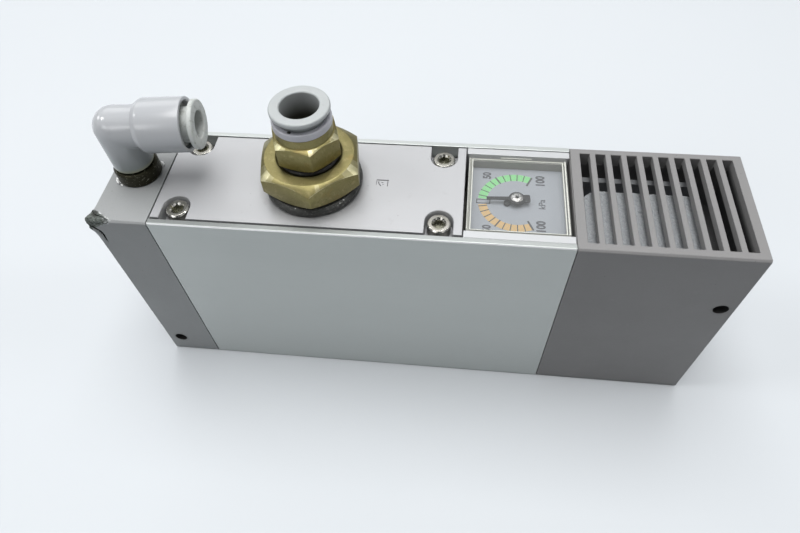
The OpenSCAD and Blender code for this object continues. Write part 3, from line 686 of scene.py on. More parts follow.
M = {}
M["anodised_aluminium"] = m_anodised()
M["cover_paint"] = m_cover("cover_paint", (0.184, 0.182, 0.182, 1), (OX + 149.25, 42.3), chamber=XB + 28.5)
TORN = (Vector((4.75, 0.0, 0.0)) - Vector((0.0, 2.95, 0.0))).cross(Vector((0.35, 0.0, -2.45)) - Vector((0.0, 2.95, 0.0))).normalized()
TORN = TORN if TORN.x < 0 else -TORN
TORN_AT = TORN.dot(CORNER + Vector((4.75, 0, 0)))
M["cover_paint_left"] = m_cover("cover_paint_knocked", (0.243, 0.252, 0.254, 1), (OX + 3.8, 6.9), damage=(TORN, TORN_AT * MM, CORNER * MM))
M["plate_finish"] = m_plate("plate_satin", (0.365, 0.37, 0.38, 1))
M["bracket_finish"] = m_plate("bracket_satin", (0.42, 0.43, 0.44, 1), smudge=False)
M["black_rubber"] = m_rubber("black_rubber")
M["seal_washer"] = m_rubber("seal_washer_dirty", (0.034, 0.035, 0.032, 1), 0.42, 0.95)
M["screw_steel"] = m_steel("screw_steel", (0.29, 0.285, 0.26, 1), 0.30, 0.5)
# screw rims: brighter, glossier steel, partly worn bare steel and partly painted highlight
M["screw_wear_and_highlight"] = m_steel("screw_wear_and_highlight", (0.66, 0.655, 0.61, 1), 0.16, 0.3)
# socket walls: a slightly darker steel, painted shade
M["socket_dark"] = m_steel("socket_dark", (0.25, 0.25, 0.20, 1), 0.20, 0.5)
# near black for the inside of the front face's split and the spindle cap's centre dimple: painted shade
M["split_dark"] = m_plastic("split_dark", (0.010, 0.010, 0.010, 1), 0.7, spec=0.1)
# the next two are brighter brasses for the hexagons' chamfer corners: painted highlight
M["brass_highlight"] = m_brass("brass_highlight", (0.50, 0.47, 0.30, 1), 0.25)
M["brass_mid"] = m_brass("brass_mid", (0.31, 0.285, 0.16, 1), 0.4)
M["brass"] = m_brass("brass_turned", (0.232, 0.204, 0.090, 1), 0.8, (PX_,))
M["brass_clean"] = m_brass("brass_inner", (0.72, 0.58, 0.28, 1), 0.2)
M["dark_brass"] = m_brass("brass_greasy", (0.036, 0.034, 0.021, 1), 0.9, glint=True)
M["grey_resin"] = m_resin("grey_resin", (0.37, 0.38, 0.395, 1), 0.12, 0.12, leg=True, step=0.04)
M["ring_resin"] = m_resin("ring_resin", (0.38, 0.38, 0.41, 1), 0.34, 0.15)
M["sealant"] = m_resin("sealant_white", (0.80, 0.81, 0.80, 1), 0.35, 0.05)
M["button_resin"] = m_resin("button_resin", (0.435, 0.455, 0.44, 1), 0.42, 1.0, soil_at=0.53)
M["port_button_resin"] = m_resin("port_button_resin", (0.332, 0.35, 0.352, 1), 0.38, 0.35, bore=(PX_, 4.27, TOP + 17.0, TOP + 22.8))
M["guide_resin"] = m_resin("guide_resin", (0.20, 0.21, 0.19, 1), 0.4, 1.0, soil_at=0.50)
M["stainless"] = m_steel("stainless", (0.62, 0.62, 0.60, 1), 0.28, 0.2)
M["case_resin"] = m_plastic("case_resin", (0.20, 0.20, 0.175, 1), 0.3)
# pale rim colour: painted highlight on the window's rim
M["rim_resin"] = m_plastic("case_rim", (0.50, 0.51, 0.46, 1), 0.25)
M["clear_window"] = m_plastic("clear_window", (0.90, 0.93, 0.92, 1), 0.06, alpha=0.04)
M["dial_print"] = m_plastic("dial_face", (0.196, 0.212, 0.233, 1), 0.55, var=0.12)
M["dial_green"] = m_plastic("dial_green", (0.16, 0.42, 0.17, 1), 0.55, scale=6)
M["dial_green2"] = m_plastic("dial_green_tick", (0.09, 0.34, 0.11, 1), 0.55, scale=6)
M["dial_orange"] = m_plastic("dial_orange", (0.33, 0.245, 0.115, 1), 0.55, scale=6)
M["dial_orange2"] = m_plastic("dial_orange_tick", (0.46, 0.25, 0.06, 1), 0.55, scale=6)
M["dial_black"] = m_plastic("dial_black", (0.03, 0.031, 0.033, 1), 0.55, scale=6)
M["dial_grey"] = m_plastic("dial_grey", (0.030, 0.032, 0.040, 1), 0.55, scale=6)
M["black_paint"] = m_plastic("black_paint", (0.011, 0.011, 0.013, 1), 0.45, spec=0.15, scale=3)
M["spindle_steel"] = m_steel("spindle_steel", (0.40, 0.40, 0.40, 1), 0.36, 0.6)
M["white_resin"] = m_resin("white_resin", (0.66, 0.66, 0.62, 1), 0.45, 0.1)
M["filter_felt"] = m_felt("filter_felt", (0.62, 0.62, 0.58, 1))
M["felt_grey"] = m_felt("felt_grey", (0.315, 0.33, 0.345, 1), 2.2)
M["dark_resin"] = m_plastic("dark_resin", (0.11, 0.115, 0.12, 1), 0.6)

for n_, o_ in nodes.items():
    slot_ = next((s["material_slot"] for s in frame["record"]["subparts"] if s["node"] == n_), None)
    mat_ = M.get(slot_) or M["dark_resin"]
    for ms in o_.material_slots:
        ms.material = mat_

# ------------------------------------------------------------------ camera, floor and light
cam_d = bpy.data.cameras.new("camera")
cam = bpy.data.objects.new("camera", cam_d)
coll.objects.link(cam)
cam_d.sensor_width = 36.0
cam_d.lens = 27.078
cam_d.clip_start = 0.01
cam_d.clip_end = 20
R = Matrix(((0.994002, -0.064278, 0.088483), (0.103788, 0.809487, -0.577891), (-0.034481, 0.583608, 0.811303)))
cam.matrix_world = Matrix.Translation((0.00919786, -0.0982595, 0.16703634)) @ R.to_4x4()
scene.camera = cam

bm = bmesh.new()
bmesh.ops.create_grid(bm, x_segments=1, y_segments=1, size=8.0)
floor = obj("floor", bm)
floor.location.z = -0.00002
fm = Mat("floor_pale", (0.505, 0.53, 0.553, 1), rough=0.85, spec=0.1)
fm.tint(fm.ramp(fm.noise(9, 3), 0.3, 0.7, 0, 0.25), (0.525, 0.545, 0.563, 1))
fm.bump(fm.noise(1200, 4), 0.05, 0.0001)
# far from the object the floor glows a little, so that it stays pale out to the horizon
fm.b.inputs["Emission Color"].default_value = (0.93, 0.95, 0.97, 1)
fm.link(fm.ramp(fm.dist((0, 0, 0)), 0.42, 1.35, 0.0, 0.60), fm.b.inputs["Emission Strength"])
floor.data.materials.append(fm.done())


def area(name, loc, target, size, power, color=(1, 1, 1), size_y=None):
    ld = bpy.data.lights.new(name, "AREA")
    ld.shape = "RECTANGLE"
    ld.size = size
    ld.size_y = size_y or size
    ld.energy = power
    ld.color = color
    lo = bpy.data.objects.new(name, ld)
    coll.objects.link(lo)
    lo.location = loc
    lo.rotation_euler = (Vector(target) - Vector(loc)).to_track_quat("-Z", "Y").to_euler()
    return lo


area("overhead", (0.0, 0.10, 1.0), (0.0, 0.0, 0), 0.66, 12.6, (1.0, 0.995, 0.985), 0.90)
area("window", (-0.85, -0.10, 1.0), (0.0, 0.0, 0.05), 0.26, 3.4, (1.0, 1.0, 1.0))
area("front_left", (-0.62, -0.86, 0.70), (0.0, 0.0, 0.03), 0.52, 1.85, (1.0, 1.0, 1.0), 0.36)
area("front_right", (0.70, -0.80, 0.70), (0.0, 0.0, 0.03), 0.52, 0.60, (1.0, 1.0, 1.0), 0.36)
area("side_left", (-1.00, 0.16, 0.58), (0.0, 0.0, 0.06), 0.26, 1.1, (1.0, 1.0, 1.0), 0.20)
area("side_right", (0.82, 0.10, 0.72), (0.0, 0.0, 0.06), 0.26, 1.5, (1.0, 1.0, 1.0), 0.20)
area("back", (-0.55, 0.82, 0.86), (0.0, 0.0, 0.05), 0.80, 2.1, (1.0, 1.0, 1.0), 0.55)

world = bpy.data.worlds.new("studio")
scene.world = world
world.use_nodes = True
wt = world.node_tree
wt.nodes.clear()
wo = wt.nodes.new("ShaderNodeOutputWorld")
wb = wt.nodes.new("ShaderNodeBackground")
wc = wt.nodes.new("ShaderNodeTexCoord")
wm = wt.nodes.new("ShaderNodeSeparateXYZ")
wr = wt.nodes.new("ShaderNodeMapRange")
wx = wt.nodes.new("ShaderNodeMix")
wx.data_type = "RGBA"
wa = wt.nodes.new("ShaderNodeMath")
wa.operation = "ADD"
wt.links.new(wc.outputs["Generated"], wm.inputs[0])
wt.links.new(wm.outputs[1], wa.inputs[0])
wt.links.new(wm.outputs[2], wa.inputs[1])
wt.links.new(wa.outputs[0], wr.inputs["Value"])
wr.inputs["From Min"].default_value = -0.5
wr.inputs["From Max"].default_value = 1.1
wt.links.new(wr.outputs[0], wx.inputs[0])
wx.inputs[6].default_value = (0.05, 0.052, 0.056, 1)
wx.inputs[7].default_value = (0.80, 0.83, 0.88, 1)
wt.links.new(wx.outputs[2], wb.inputs[0])
wb.inputs[1].default_value = 0.37
wt.links.new(wb.outputs[0], wo.inputs[0])
scene.view_settings.view_transform = "Standard"
scene.view_settings.look = "None"

# ================================================================== casing
ext = soften(cad_copy("extrusion_body", "body_extrusion"), 0.10, 1)
fin(ext, "root", M["anodised_aluminium"], ["body_extrusion"], smooth=15)

shell = joint_groove(soften(cad_copy("slotted_cover", "exhaust_cover"), 0.10, 1), XB - 1, XB + 0.15)
tidy(shell)
fin(shell, "root", M["cover_paint"], ["exhaust_cover"], smooth=15, weighted=True)

# supply cover, with its knocked corner
def D(d, y, z):
    """distance from the supply end, distance from the front face, height -> the row frame"""
    return Vector((OX + d, -HW + y, z))


def lump(name, c, size, seed=0.0, amp=0.25, sub=4, freq=1.6):
    bm = bmesh.new()
    bmesh.ops.create_icosphere(bm, subdivisions=sub, radius=1.0)
    for v in bm.verts:
        d = v.co.normalized()
        k = 1 + amp * noise.fractal(d * freq + Vector((seed, seed * 2, 0)), 0.8, 2.0, 4)
        v.co = Vector((c[0] + d.x * size[0] * k, c[1] + d.y * size[1] * k, c[2] + d.z * size[2] * k))
    return obj(name, bm)


fc = joint_groove(soften(cad_copy("supply_cover", "front_cover"), 0.10, 1), XA - 0.22, XA + 1)
# the corner is cut out and put back as a finely divided block, which is then crushed
QD, QY, QZ = 6.6, 4.2, 10.5


def smooth_(a, b, x):
    t = min(1.0, max(0.0, (x - a) / (b - a)))
    return t * t * (3 - 2 * t)


NK = (Vector((4.75, 0.0, 0.0)) - Vector((0.0, 2.95, 0.0))).cross(Vector((0.35, 0.0, -2.45)) - Vector((0.0, 2.95, 0.0))).normalized()
if NK.dot(Vector((0.0, 0.0, 0.0)) - Vector((4.75, 0.0, 0.0))) < 0:
    NK = -NK


def crease(h):
    """How far from the supply end the split in the front face runs, h below the top."""
    pts = ((1.7, 0.05), (2.3, 0.35), (3.0, 0.75), (3.9, 1.20), (5.5, 1.42), (7.8, 1.34), (9.5, 1.25))
    for (h0, d0), (h1, d1) in zip(pts, pts[1:]):
        if h <= h1:
            return d0 + (d1 - d0) * max(0.0, (h - h0) / (h1 - h0))
    return pts[-1][1]


def shove(h):
    """How far the tip is pushed out past the end face, h below the top."""
    return 1.75 * smooth_(8.6, 0.0, h) ** 2.2


def crush(d, y, z):
    """Where the knock moved a point d from the end, y behind the front face, z below zero from the top."""
    p = Vector((d, y, z))
    h = -z
    fade = smooth_(QD - 0.5, QD - 2.0, d) * smooth_(QY - 0.4, QY - 1.3, y) * smooth_(QZ - 0.4, QZ - 2.2, h)
    if fade <= 0:
        return p
    out = Vector((0, 0, 0))
    # depth beyond the torn plane
    k = NK.dot(p - Vector((4.75, 0, 0)))
    wob = 0.24 * noise.fractal(p * 0.75 + Vector((4, 0, 0)), 0.8, 2.0, 4)
    inside = smooth_(-0.02, 0.16, k + wob)
    reach = max(0.0, k + wob)
    rough = 0.17 * noise.fractal(p * 1.25 + Vector((0, 3, 7)), 0.6, 2.2, 5) + 0.16 * abs(noise.noise(p * 0.62 + Vector((2, 8, 1))))
    out -= NK * inside * (0.20 + 0.42 * min(reach, 1.2) + rough)
    # raised lip along the tear, on the top face
    lip = math.exp(-((k + wob + 0.16) / 0.13) ** 2) * smooth_(0.9, 0.0, h) * smooth_(0.8, 2.4, d)
    out.z += 0.13 * lip
    groove = math.exp(-((k + wob - 0.10) / 0.10) ** 2) * smooth_(0.9, 0.0, h)
    out.z -= 0.30 * groove
    # the tip is pushed out past the end face, most at the very top
    tipw = math.exp(-(d / 1.7) ** 2) * math.exp(-(y / 2.3) ** 2) * shove(h)
    left = smooth_(0.16, -0.16, d - crease(h)) if h > 1.6 else 1.0
    out.x -= tipw * (0.25 + 0.75 * left)
    out.z += 0.13 * tipw * smooth_(2.0, 0.0, h)
    # the split down the front face and the fold beside it
    run = smooth_(2.1, 3.0, h) * smooth_(9.0, 6.2, h)
    front = smooth_(1.2, 0.0, y)
    wide = 0.10 + 0.12 * math.exp(-((h - 4.4) / 1.3) ** 2)
    gap = math.exp(-((d - crease(h)) / wide) ** 2)
    out.y += front * run * 1.15 * gap
    fold = math.exp(-((d - crease(h) + 0.62) / 0.34) ** 2)
    out.y -= front * run * 0.16 * fold
    # a shallow dent below the tear
    out.y += front * 0.13 * math.exp(-((d - 2.9) / 1.3) ** 2 - ((h - 1.9) / 1.0) ** 2)
    out.y += front * 0.05 * noise.noise(p * 1.1) * smooth_(6.0, 1.0, h)
    return p + out * fade


def corner_block():
    nx, ny, nz = 60, 34, 80
    bm = bmesh.new()
    vs = {}

    def v(i, j, k):
        if (i, j, k) not in vs:
            d, y, z = QD * i / nx, QY * j / ny, -QZ * k / nz
            over = 0.5 - (y - z)
            if over > 0:
                y, z = y + over / 2, z - over / 2
            q = crush(d, y, z)
            if i == 0 and (j == 0 or k == 0):
                q += Vector((0.04, 0.02 if j == 0 else 0, -0.02 if k == 0 else 0))
            vs[(i, j, k)] = bm.verts.new(Vector((OX + q.x, -HW + q.y, TOP + q.z)))
        return vs[(i, j, k)]

    for i in range(nx):
        for j in range(ny):
            for k in (0, nz):
                bm.faces.new((v(i, j, k), v(i + 1, j, k), v(i + 1, j + 1, k), v(i, j + 1, k)))
    for i in range(nx):
        for k in range(nz):
            for j in (0, ny):
                bm.faces.new((v(i, j, k), v(i + 1, j, k), v(i + 1, j, k + 1), v(i, j, k + 1)))
    for j in range(ny):
        for k in range(nz):
            for i in (0, nx):
                bm.faces.new((v(i, j, k), v(i, j + 1, k), v(i, j + 1, k + 1), v(i, j, k + 1)))
    bmesh.ops.recalc_face_normals(bm, faces=bm.faces)
    return obj("corner", bm)


cut(fc, block("q", (OX - 1, -HW - 1, TOP - QZ), (OX + QD, -HW + QY, TOP + 1)))
cut(fc, corner_block(), op="UNION")
tidy(fc)


def in_split(c, n):
    h = TOP - c.z
    return 1.9 < h < 8.6 and c.x - OX < 2.3 and c.y > -HW + 0.24 and c.y < -HW + 1.6 and c.x - OX > -0.6 and abs(c.x - OX - crease(h) + shove(h)) < 0.5


# the faces inside the split are painted near black: painted shade
fin(fc, "root", M["cover_paint_left"], ["front_cover"], smooth=16, weighted=True, more=[(M["split_dark"], in_split)])

# satin cover plate, with the small square tool mark
plate = soften(cad_copy("cover_plate", "suction_cover"), 0.12, 1)
mx, my = OX + 67.25, 0.45
pl0, pl1 = mm_box("suction_cover")
cut(plate, block("edge", (pl0.x - 1, pl0.y - 1, pl0.z - 1), (pl1.x + 1, pl0.y + 0.17, TOP + 1)))
for lo, hi in (((-1.5, 1.04), (1.45, 1.34)), ((-1.5, -0.45), (-1.36, 0.9)), ((1.18, -0.75), (1.38, 0.9)), ((-0.30, 0.36), (0.22, 0.50)), ((-0.05, -0.22), (0.34, -0.08))):
    cut(plate, block("groove", (mx + lo[0], my + lo[1], TOP - 0.20), (mx + hi[0], my + hi[1], TOP + 1)))
arc = [(-1.06, 0.72), (-0.98, 0.10), (-0.72, -0.42), (-0.32, -0.80), (-0.16, -0.66), (-0.50, -0.28), (-0.74, 0.16), (-0.86, 0.72)]
cut(plate, prism("arc", [(mx + x, my + y) for x, y in arc], TOP - 0.20, TOP + 1))
tidy(plate)
fin(plate, "root", M["plate_finish"], ["suction_cover"], smooth=15, weighted=True)

# ================================================================== socket screws
def cap_screw(name, Mx, length, seed):
    head = [(0, 0), (2.42, 0, 0.12), (2.74, -0.34, 0.12), (2.74, -0.55), (2.74, -2.6), (2.74, -2.98, 0.1), (1.5, -3.0), (1.5, -4.0), (1.23, -4.3),
            (1.23, -3 - length + 0.4), (0.78, -3 - length), (0, -3 - length)]
    prof = fil(head, 3)

    def knurl(i, a):
        r, z = prof[i]
        if r > 2.6 and -2.7 < z < -0.5:
            return -0.07 * (0.5 + 0.5 * math.cos(a * 36))
        return 0.0

    s = lathe("head", prof, I4, 144, knurl)
    hexa = [(2.5 / math.sqrt(3) * math.cos(math.radians(60 * k)), 2.5 / math.sqrt(3) * math.sin(math.radians(60 * k))) for k in range(6)]
    cut(s, prism("hex", hexa, -1.6, 1.0), lathe("cone", [(0, -0.5), (1.32, -0.5), (1.78, 0.10), (1.78, 1), (0, 1)], I4, 48))
    # worn and burred round the socket
    me = s.data
    for v in me.vertices:
        r = math.hypot(v.co.x, v.co.y)
        if v.co.z > -0.7 and r < 2.0:
            q = v.co * 1.7 + Vector((seed, 0, 0))
            v.co.x += 0.05 * noise.noise(q)
            v.co.y += 0.05 * noise.noise(q + Vector((5, 5, 0)))
            v.co.z += 0.012 * noise.noise(q + Vector((0, 9, 4)))
    for p in me.polygons:
        r = math.hypot(p.center.x, p.center.y)
        p.material_index = 0
        # inside the socket: the slightly darker steel, painted shade
        if r < 1.46 and -2.0 < p.center.z < -0.40:
            p.material_index = 1
        # the rims of the head and of the socket: the brighter steel, partly worn and partly painted highlight
        elif p.center.z > -0.45 and (r < 1.80 or r > 2.40):
            p.material_index = 2
    me.transform(Mx)
    s.name = name
    return s


def screw_at(p, rx, ry, rz):
    return Matrix.Translation(p) @ Matrix.Rotation(math.radians(ry), 4, "Y") @ Matrix.Rotation(math.radians(rz), 4, "Z")


q0, q1 = mm_box("suction_cover_screws")
ps = []
for i, x in enumerate((q0.x + 2.75, q1.x - 2.75)):
    for j, y in enumerate((q0.y + 2.75, q1.y - 2.75)):
        ps.append(cap_screw("screw", screw_at((x, y, q1.z), 0, 0, (17 if y > 0 else -17) + x - OX), 9, 3.1 * i + 1.7 * j))
no = lambda c, n: False
fin(join("plate_screws", ps), "root", M["screw_steel"], ["suction_cover_screws"], smooth=30, more=[(M["socket_dark"], no), (M["screw_wear_and_highlight"], no)])
for nm, node_, ry, L_ in (("supply_cover_screws", "front_cover_screws", -90, 20), ("slotted_cover_screws", "exhaust_cover_screws", 90, 46)):
    q0, q1 = mm_box(node_)
    end = q0.x if ry < 0 else q1.x
    ps = []
    for k, (y, z) in enumerate(((12.2, 12.5), (-12.2, 12.5), (11.8, 36.2), (-11.8, 36.2))):
        ps.append(cap_screw("screw", screw_at((end, y, z), 0, ry, 13 * k), L_, 2.3 * k))
    fin(join(nm, ps), "root", M["screw_steel"], [node_], smooth=30, more=[(M["socket_dark"], no), (M["screw_wear_and_highlight"], no)])

# ================================================================== vacuum port
def hexagon(name, Mx, z0, z1, af, turn, soft=0.22, k30=math.tan(math.radians(30)), circle=0.475):
    rv = af / math.sqrt(3)
    pts = []
    for k in range(6):
        a = math.radians(turn + 30 + 60 * k)
        pts.append((rv * math.cos(a), rv * math.sin(a), soft))
    h = prism(name, fil(pts, 3), z0, z1, Mx)
    e = rv + 1
    rise = (e - af * circle) * k30
    cone = lathe("cone", [(0, z0), (af * circle, z0), (e, z0 + rise), (e, z1 - rise), (af * circle, z1), (0, z1)], Mx, 144)
    return cut(h, cone, op="INTERSECT")


bush = hexagon("port_bush", PORT, 2.85, 9.4, 22, 9.5, 0.22, 0.66, 0.468)
cut(bush, lathe("seat", [(0, 2.5), (9.9, 2.5), (9.9, 3.4), (0, 3.4)], PORT, 96), op="UNION")
cut(bush, lathe("stub", [(0, -6), (7.7, -6), (8.05, -5.6), (8.05, 3.0), (0, 3.0)], PORT, 96), op="UNION")
cut(bush, lathe("bore", [(0, -7), (5.95, -7), (5.95, 7.7), (7.7, 9.4), (7.7, 11), (0, 11)], PORT, 96))
soften(bush, 0.09, 2, 24)


def hex_corner_highlight(z1):
    """Faces near the corners of a hexagon's upper chamfer, which are given brighter brass: painted highlight."""
    return lambda c, n: c.z > TOP + z1 - 2.6 and c.z < TOP + z1 - 0.12 and 0.55 < n.z < 0.95 and abs(n.x) > 0.16


fin(bush, "root", M["brass"], ["port_bushing"], smooth=25, more=[(M["brass_mid"], lambda c, n: hex_corner_highlight(9.4)(c, n) and math.hypot(c.x - PX_, c.y) > 10.88 and c.y < 4), (M["brass_highlight"], lambda c, n: hex_corner_highlight(9.4)(c, n) and math.hypot(c.x - PX_, c.y) > 11.2 and c.y < 2)])

nut = hexagon("port_nut", PORT, 10.2, 16.3, 14, 19, 0.18)
cut(nut, lathe("collar", fil([(0, 15.6), (6.45, 15.6), (6.45, 18.4, 0.15), (6.25, 18.6), (0, 18.6)]), PORT, 96), op="UNION")
cut(nut, lathe("stub", [(0, 1), (5.7, 1), (5.9, 1.3), (5.9, 10.6), (0, 10.6)], PORT, 96), op="UNION")
cut(nut, lathe("bore", [(0, 0), (3.3, 0), (3.3, 10.5), (5.75, 10.5), (5.75, 20), (0, 20)], PORT, 96))
soften(nut, 0.08, 2, 24)
fin(nut, "root", M["brass"], ["port_fitting_body"], smooth=25, more=[(M["brass_mid"], lambda c, n: hex_corner_highlight(16.3)(c, n) and math.hypot(c.x - PX_, c.y) > 6.95), (M["brass_highlight"], lambda c, n: hex_corner_highlight(16.3)(c, n) and math.hypot(c.x - PX_, c.y) > 7.15)])

# sealing washer, pressed, oily and dusty
wprof = fil([(8.2, 0.02), (10.9, 0.02, 0.4), (11.65, 0.75, 0.6), (11.65, 1.85, 0.4), (11.1, 2.48, 0.3), (8.2, 2.48)], 4)


def crumple(i, a):
    r, z = wprof[i]
    return 0.0 if r < 9 else 0.09 * noise.fractal(Vector((math.cos(a) * 9, math.sin(a) * 9, z * 1.6)), 0.8, 2.0, 4) - 0.05


fin(lathe("seal_washer", wprof, PORT, 256, crumple), "root", M["seal_washer"], ["port_seal_washer"])

fin(lathe("port_ring", fil([(5.30, 15.7), (5.70, 15.7), (5.70, 18.6), (6.60, 18.6, 0.12), (6.60, 20.3, 0.35), (5.30, 20.3, 0.2)], 5), PORT, 128), "root", M["ring_resin"], ["port_fitting_guide"])
fin(lathe("port_button", fil([(4.27, 15.0), (5.22, 15.0), (5.22, 22.0, 0.2), (6.63, 22.0, 0.30), (6.63, 23.1, 0.42), (4.27, 23.1, 0.42)], 6), PORT, 128), "port_release", M["port_button_resin"], ["port_release_button"])
# a small black lump on the port ring's top, towards the front
a_ = math.radians(-104)
fin(lump("port_ring_black_lump", (PX_ + 5.85 * math.cos(a_), 5.85 * math.sin(a_), TOP + 20.42), (0.42, 0.32, 0.16), 3.0, 0.5, 3), "root", M["black_rubber"])

# ================================================================== supply elbow
leg = lathe("leg", [(0, 4.1), (4.62, 4.1), (4.86, 4.4), (4.90, 14.7), (0, 14.7)], STUD, 96)
bm = bmesh.new()
bmesh.ops.create_uvsphere(bm, u_segments=64, v_segments=40, radius=4.92, matrix=Matrix.Translation((EX, 0, ELZ)))
ball = obj("ball", bm)
neck = lathe("neck", [(0, 0), (4.88, 0), (4.84, 7.2), (0, 7.2)], BAR, 96)
cut(leg, ball, neck, op="UNION")
rm = leg.modifiers.new("r", "REMESH")
rm.mode = "VOXEL"
rm.voxel_size = 0.24
sm = leg.modifiers.new("s", "SMOOTH")
sm.factor = 0.5
sm.iterations = 8
bake(leg)
cut(leg, lathe("trim", [(0, 0), (9, 0), (9, 4.12), (0, 4.12)], STUD, 48))
cut(leg, lathe("barrel", fil([(0, 5.55), (5.36, 5.55, 0.07), (6.25, 6.9, 1.1), (6.25, 16.6, 0.22), (0, 16.6)], 6), BAR, 128), op="UNION")
cut(leg, lathe("b1", [(0, 4.0), (3.66, 4.0), (3.66, 12.5), (0, 12.5)], STUD, 64), lathe("b2", [(0, 12), (2.2, 12), (2.2, 15.1), (0, 15.1)], STUD, 64),
    lathe("b3", [(0, -2.9), (2.4, -2.9), (2.4, 9.1), (0, 9.1)], BAR, 64),
    lathe("b4", [(0, 9.0), (4.6, 9.0), (4.6, 12.6), (5.3, 12.6), (5.3, 16.25), (5.6, 16.7), (5.6, 18), (0, 18)], BAR, 128))
leg.name = "elbow_shell"
fin(leg, "elbow", M["grey_resin"], ["elbow_body"], smooth=32)
fin(lathe("elbow_ring", fil([(4.10, 12.65), (5.25, 12.65), (5.25, 15.3, 0.2), (4.75, 15.4, 0.1), (4.10, 15.0, 0.1)], 4), BAR, 96), "elbow", M["guide_resin"], ["elbow_guide"])
fin(lathe("elbow_button", fil([(3.07, 13.4), (4.02, 13.4), (4.02, 18.0, 0.15), (5.63, 18.1, 0.28), (5.63, 19.27, 0.40), (3.07, 19.27, 0.36)], 6), BAR, 128), "elbow_release", M["button_resin"], ["elbow_release_button"])

# greasy brass stud, its colour flecked with painted glints, with scraps of white sealant at its foot
stud = lathe("supply_stud", fil([(2.2, -11), (4.6, -11), (4.85, -10.6), (4.85, 0.02), (5.1, 0.02, 0.1), (5.32, 0.35, 0.15), (5.32, 3.3, 0.35), (4.95, 3.8, 0.1), (3.6, 3.8), (3.6, 6.6), (2.75, 6.6),
                                  (2.75, 8.2), (3.6, 8.2), (3.6, 11.6), (3.3, 12), (2.2, 12)], 4), STUD, 128)
fin(stud, "root", M["dark_brass"], ["elbow_stud"])
scraps = []
for k, (az, rr, z, sz, turn) in enumerate(((-139, 5.50, 0.40, (0.46, 0.95, 0.60), -139), (31, 5.52, 0.42, (0.42, 0.80, 0.66), 31), (-124, 5.50, 0.10, (0.20, 0.36, 0.16), -124), (-156, 5.50, 0.14, (0.22, 0.40, 0.20), -156))):
    a = math.radians(az)
    q = lump("scrap", (0, 0, 0), sz, 2.0 * k + 1, 0.5, 3, 2.2)
    q.data.transform(Matrix.Translation((EX + rr * math.cos(a), rr * math.sin(a), TOP + z)) @ Matrix.Rotation(math.radians(turn), 4, "Z"))
    scraps.append(q)
fin(join("sealant_scraps", scraps), "root", M["sealant"])

# ================================================================== gauge
gb0, gb1 = mm_box("gauge_lens")
fin(soften(cad_copy("gauge_holder", "gauge_bracket"), 0.10, 1), "root", M["bracket_finish"], ["gauge_bracket"], smooth=15)
# the clear case stands clear of the cover plate and of the slotted cover by a narrow dark gap
house = cad_copy("gauge_housing", "gauge_case")
gx0_, gx1_ = OX + 87.62, OX + 111.15
cut(house, block("l", (OX + 86, -14, 49.6), (gx0_, 14, 62)), block("r", (gx1_, -14, 49.6), (OX + 113, 14, 62)))
fin(soften(house, 0.08, 1), "root", M["case_resin"], ["gauge_case"], smooth=15)
# window: bright beads along the wall's inner edge and at its ends, whose pale colour is a painted highlight on the
# window's rim, a catch at the back, and the clear pane over them
bx0, bx1, by0, by1, bz0, bz1 = OX + 88.38, OX + 110.42, -11.25, 11.42, gb0.z + 0.02, gb0.z + 0.24
rim = block("window_rim", (bx0, by0, bz0), (bx1, by1, bz1), 0.10, 2)
cut(rim, block("c", (bx0 + 0.26, by0 + 0.16, bz0 - 1), (bx1 - 0.30, by1 - 0.22, bz1 + 1)))
catch = block("tab", (OX + 95.4, 12.02, bz0), (OX + 102.95, 12.60, bz1), 0.08, 2)
outer = block("outer", (gx1_ - 0.42, by0, bz0), (gx1_ - 0.05, by1 + 0.5, bz1 - 0.06), 0.06, 2)
slim = block("slim", (gx0_ + 0.04, by0, bz0), (gx0_ + 0.20, by1 + 0.5, bz1 - 0.06), 0.05, 2)
fin(join("window_rim", [rim, catch, outer, slim]), "root", M["rim_resin"], ["gauge_lens"], weighted=True)
pane = block("window_pane", (gx0_, gb0.y, bz1 + 0.05), (gx1_, gb1.y, gb1.z), 0.08, 2)
fin(pane, "root", M["clear_window"], weighted=True)

# the dial's print: fields of colour, lines and plain numbers, each a thin raised film
def polar(r, deg):
    """deg counts from the supply end, towards the front."""
    a = math.radians(180 + deg)
    return GX + r * math.cos(a), r * math.sin(a)


def sector(name, r0, r1, d0, d1, z0, z1):
    n = max(2, int(abs(d1 - d0) / 2))
    pts = [polar(r1, d0 + (d1 - d0) * k / n) for k in range(n + 1)] + [polar(r0, d1 + (d0 - d1) * k / n) for k in range(n + 1)]
    return prism(name, pts, DZ + z0, DZ + z1)


def tick(name, deg, r0, r1, w, z0=0.0, z1=0.03):
    a = math.radians(180 + deg)
    t = Vector((-math.sin(a), math.cos(a)))
    p0, p1 = Vector(polar(r0, deg)), Vector(polar(r1, deg))
    pts = [p0 - t * w / 2, p0 + t * w / 2, p1 + t * w / 2, p1 - t * w / 2]
    return prism(name, [(p.x, p.y) for p in pts], DZ + z0, DZ + z1)


